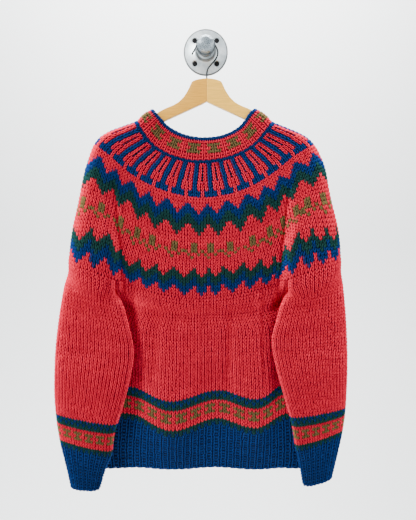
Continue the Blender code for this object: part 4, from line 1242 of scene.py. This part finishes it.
SLEEVE_SECTIONS = {
    "left": (
        # share, outer_x, outer_z, inner_x, inner_z, mid_y, half_y, lean
        (0.13, -288, -472, -172, -503, -62, 16, 10),
        (0.24, -297, -524, -158, -552, -69, 15, 8),
        (0.38, -307, -588, -150, -604, -71, 14, 6),
        (0.52, -313, -647, -158, -656, -71, 14, 6),
        (0.66, -316, -703, -175, -720, -70, 14, 5),
        (0.80, -314, -752, -194, -778, -69, 14, 4),
        (1.00, -309, -807, -203, -835, -67, 13, 3),
    ),
    "right": (
        (0.13, 279, -470, 158, -498, -62, 16, 10),
        (0.24, 283, -515, 146, -536, -69, 15, 8),
        (0.38, 288, -572, 137, -580, -71, 14, 6),
        (0.52, 292, -634, 146, -632, -71, 14, 6),
        (0.66, 293, -690, 164, -695, -70, 14, 5),
        (0.80, 292, -733, 182, -758, -69, 14, 4),
        (1.00, 288, -785, 194, -822, -67, 13, 3),
    ),
}
# Swells across the whole sleeve: share of the way down, and height.
SLEEVE_FOLDS = ((0.16, 2.5), (0.33, -2.0), (0.49, 2.2), (0.64, -1.8), (0.81, 1.6))
# Short shallow wrinkles across the sleeves, from one place to another.
SLEEVE_WRINKLES = (
    # top_x, top_z, low_x, low_z, half_width, depth
    (235, -577, 268, -555, 3.6, 3.0),
    (214, -592, 264, -579, 3.4, 3.2),
    (221, -608, 262, -619, 3.6, 2.8),
    (226, -632, 270, -621, 3.2, 3.0),
    (233, -640, 259, -656, 3.4, 2.4),
    (196, -668, 236, -676, 4.2, 2.2),
    (-206, -569, -150, -585, 3.8, 3.2),
    (-272, -594, -214, -599, 4.0, 2.6),
    (-256, -641, -184, -632, 4.2, 2.6),
    (-246, -704, -200, -712, 4.4, 2.2),
    (-278, -668, -240, -661, 3.6, 2.0),
)
OVAL_POWER = 0.78             # below 1, it fills the oval's corners
OVAL_STEPS = 240
LEVEL = 0.3                   # the sleeve leans to and fro about this share of its width
SLEEVE_ROWS = 60
SLEEVE_STITCHES_PER_COLUMN = 2


def sleeve_section(section, columns):
    """A flattened oval, from beside the inner fold over the front to the outer fold."""
    share, outer_x, outer_z, inner_x, inner_z, mid_y, half_y, lean = section
    start = UNDERARM_COLUMNS / 2 / (2 * SLEEVE_COLUMNS + UNDERARM_COLUMNS)
    angle = np.linspace(0, 2 * math.pi, OVAL_STEPS + 1)
    wide = np.sign(np.cos(angle)) * np.abs(np.cos(angle)) ** OVAL_POWER
    deep = np.sign(np.sin(angle)) * np.abs(np.sin(angle)) ** OVAL_POWER
    out = (1 - wide) / 2
    line = np.column_stack((inner_x + (outer_x - inner_x) * out,
                            mid_y + lean * (out - LEVEL) - half_y * deep,
                            inner_z + (outer_z - inner_z) * out))
    total = lengths_along(line)[-1]
    places = (start + np.arange(columns) / columns) % 1.0
    return points_at(line, places * total)


def sleeve_first_ring(side):
    """A sleeve's first ring: from the front crease round to the back one and back."""
    if side == "left":
        out = -1
        part = np.concatenate((seam[CREASE_LEFT::-1], seam[:BACK_LEFT - 1:-1]))
    else:
        out = 1
        part = seam[CREASE_RIGHT:BACK_RIGHT + 1].copy()
    line = underarm_line(part[0], part[-1], out) + (out * CROTCH, 0, 0)
    return np.concatenate((corners_aside(part), line[::-1]))


def sleeve_rings(side, shares):
    """The sleeve's rings, with its cross folds."""
    first = sleeve_first_ring(side)
    sections = SLEEVE_SECTIONS[side]
    rings = hanging_loft(first, [sleeve_section(s, len(first)) for s in sections], shares,
                         [section[0] for section in sections])
    knots = [0.0] + [share for share, swell in SLEEVE_FOLDS] + [1.0]
    swell = through(knots, [0.0] + [swell for share, swell in SLEEVE_FOLDS] + [0.0], shares)
    rings[:, 2:SLEEVE_COLUMNS, 1] -= swell[:, None]
    return finer(rings, SLEEVE_STITCHES_PER_COLUMN)


CUFF_SECTIONS = {             # as the sleeves'
    "left": ((1.50, -299, -862, -221, -877, -65, 12, 2),
             (2.00, -292, -911, -233, -915, -63, 11, 2)),
    "right": ((1.50, 278, -846, 205, -867, -65, 12, 2),
              (2.00, 271, -889, 213, -906, -63, 11, 2)),
}
CUFF_RIBS = 18
CUFF_ROWS = 13


def cuff_rings(side, shares):
    """The cuff's rings, whose shares run on from the sleeve's."""
    sections = (SLEEVE_SECTIONS[side][-1],) + CUFF_SECTIONS[side]
    return through([section[0] for section in sections],
                   [sleeve_section(section, 2 * CUFF_RIBS) for section in sections], shares)


for side in ("left", "right"):
    sleeve = even_rows(lambda shares: sleeve_rings(side, shares), 0.0, 1.0, SLEEVE_ROWS)
    sleeve = folded(sleeve, CREASES + SLEEVE_WRINKLES, -1)
    sleeve_cloth = (sleeve, outward(sleeve))
    chart = plain_chart(SLEEVE_ROWS, sleeve.shape[1])
    sleeve_ground = ground("sleeve_%s_ground" % side, sleeve_cloth, chart, loops)
    sleeve_knitting = strands("sleeve_%s_stitches" % side, sleeve_cloth, every_stitch(chart),
                              KNIT, wool)
    knitted(sleeve_ground, [sleeve_knitting], "sleeve_" + side)

    cuff = even_rows(lambda shares: cuff_rings(side, shares), 1.0, 2.0, CUFF_ROWS)
    cuff_cloth = (cuff, outward(cuff))
    chart = np.full((CUFF_ROWS, cuff.shape[1]), BLUE)
    cuff_ground = ground("cuff_%s_ground" % side, cuff_cloth, chart, loops)
    cuff_knitting = ribbing("cuff_" + side, cuff_cloth, chart, CUFF_ROWS)
    knitted(cuff_ground, cuff_knitting, "cuff_" + side)

# ---- the neck band ---------------------------------------------------------------------
# Single rib worked up from the yoke in crimson with olive blocks, and cast off in blue, so
# its free edge is a blue chain.

NECK_EDGE = ((-105, -117), (-92, -132), (-77, -148), (-36, -168), (0, -172),
             (31, -168), (73, -145), (86, -127), (97, -116))
NECK_EDGE_DEPTH = (-27.0, -38.5, -38.5, -14.5, 11.0, 0.0)
NECK_BULGE = 3.0              # how far the band's middle stands out
NECK_RIBS = 60
NECK_ROWS = 7


def neck_rings():
    """From the free edge down to the yoke's first course."""
    low, high = [], []
    for at_back in (False, True):
        for result, (spots, depths) in ((low, course(0)), (high, (NECK_EDGE, NECK_EDGE_DEPTH))):
            line, _ = half_ring(spots, depths, at_back)
            result.append(evenly(line[::-1] if at_back else line, NECK_RIBS))
    low, high = np.concatenate(low), np.concatenate(high)
    rings = np.array([high, (high + low) / 2, low])
    rings[1] += outward(rings)[1] * NECK_BULGE
    return through([0, 1, 2], rings, np.linspace(0, 2, NECK_ROWS + 1))


def neck_chart():
    """Olive blocks of three knit columns with a crimson one between them."""
    chart = np.full((NECK_ROWS, 2 * NECK_RIBS), RED)
    chart[0] = BLUE
    for rib in range(NECK_RIBS):
        if rib % 4 != 3:
            chart[[2, 4], 2 * rib] = OLIVE
        if rib % 4 < 2:
            chart[2:5, 2 * rib + 1] = OLIVE
        if rib % 4 == 1:
            chart[3, 2 * rib] = OLIVE
    return chart


neck = neck_rings()
neck_cloth = (neck, outward(neck))
chart = neck_chart()
neck_ground = ground("neckband_ground", neck_cloth, chart, loops)
neck_knitting = ribbing("neckband", neck_cloth, chart, 0)
knitted(neck_ground, neck_knitting, "neckband")

# ---- floor, backdrop, light and camera ---------------------------------------------------
# A pale studio sweep: floor and backdrop are one sheet, far behind the pullover.  Large soft
# lights stand in front of it.

FLOOR_Z = -2.2                # metres, as all below
BACK_Y = 2.4
FRONT_Y = -4.0
TOP_Z = 3.5
HALF_WIDTH = 5.0
BEND = 1.6                    # radius of the sweep's bend
sweep_profile = [(FRONT_Y, FLOOR_Z)]
sweep_profile += [(BACK_Y - BEND * (1 - math.sin(a)), FLOOR_Z + BEND * (1 - math.cos(a)))
                  for a in np.linspace(0, math.pi / 2, 17)]
sweep_profile.append((BACK_Y, TOP_Z))
sweep_points = [(x, y, z) for x in (-HALF_WIDTH, HALF_WIDTH) for y, z in sweep_profile]
count = len(sweep_profile)
sweep_mesh = bpy.data.meshes.new("studio_sweep")
sweep_mesh.from_pydata(sweep_points, [], [(k, k + 1, count + k + 1, count + k)
                                          for k in range(count - 1)])
sweep_mesh.shade_smooth()
sweep = bpy.data.objects.new("studio_sweep", sweep_mesh)
bpy.context.scene.collection.objects.link(sweep)
paper, paper_shader = new_material("matt_white_paper", 0.9)
paper_shader.inputs["Base Color"].default_value = colour("f3f5f5")
sweep_mesh.materials.append(paper)


def softbox(name, place, size, power, aim):
    """A large square area light that looks at a point."""
    lamp = bpy.data.lights.new(name, "AREA")
    lamp.shape = "SQUARE"
    lamp.size = size
    lamp.energy = power
    light = bpy.data.objects.new(name, lamp)
    bpy.context.scene.collection.objects.link(light)
    light.location = place
    way = np.array(aim) - np.array(place)
    light.rotation_euler = (math.atan2(math.hypot(way[0], way[1]), -way[2]), 0.0,
                            math.atan2(way[1], way[0]) - math.pi / 2)


MIDDLE = (0.0, 0.0, -0.45)    # of the pullover
BACKDROP = (0.0, BACK_Y, -0.45)
softbox("key_light", (-1.5, -1.5, 1.0), 0.8, 104.0, MIDDLE)
softbox("fill_light", (1.7, -1.8, 0.1), 1.8, 30.0, MIDDLE)
softbox("backdrop_light", (0.0, 0.9, 2.6), 3.0, 560.0, BACKDROP)
world = bpy.data.worlds.new("studio")
world.use_nodes = True
background = world.node_tree.nodes["Background"]
background.inputs["Color"].default_value = (0.9, 0.95, 1.0, 1.0)
background.inputs["Strength"].default_value = 0.6
bpy.context.scene.world = world

CAMERA_AT = (0.0045, -0.88, -0.299)
CAMERA_TILT = 82.0            # degrees from looking straight down
camera_data = bpy.data.cameras.new("camera")
camera_data.lens = 28.4
camera_data.sensor_width = 36.0
camera = bpy.data.objects.new("camera", camera_data)
bpy.context.scene.collection.objects.link(camera)
camera.location = CAMERA_AT
camera.rotation_euler = (math.radians(CAMERA_TILT), 0.0, 0.0)
bpy.context.scene.camera = camera
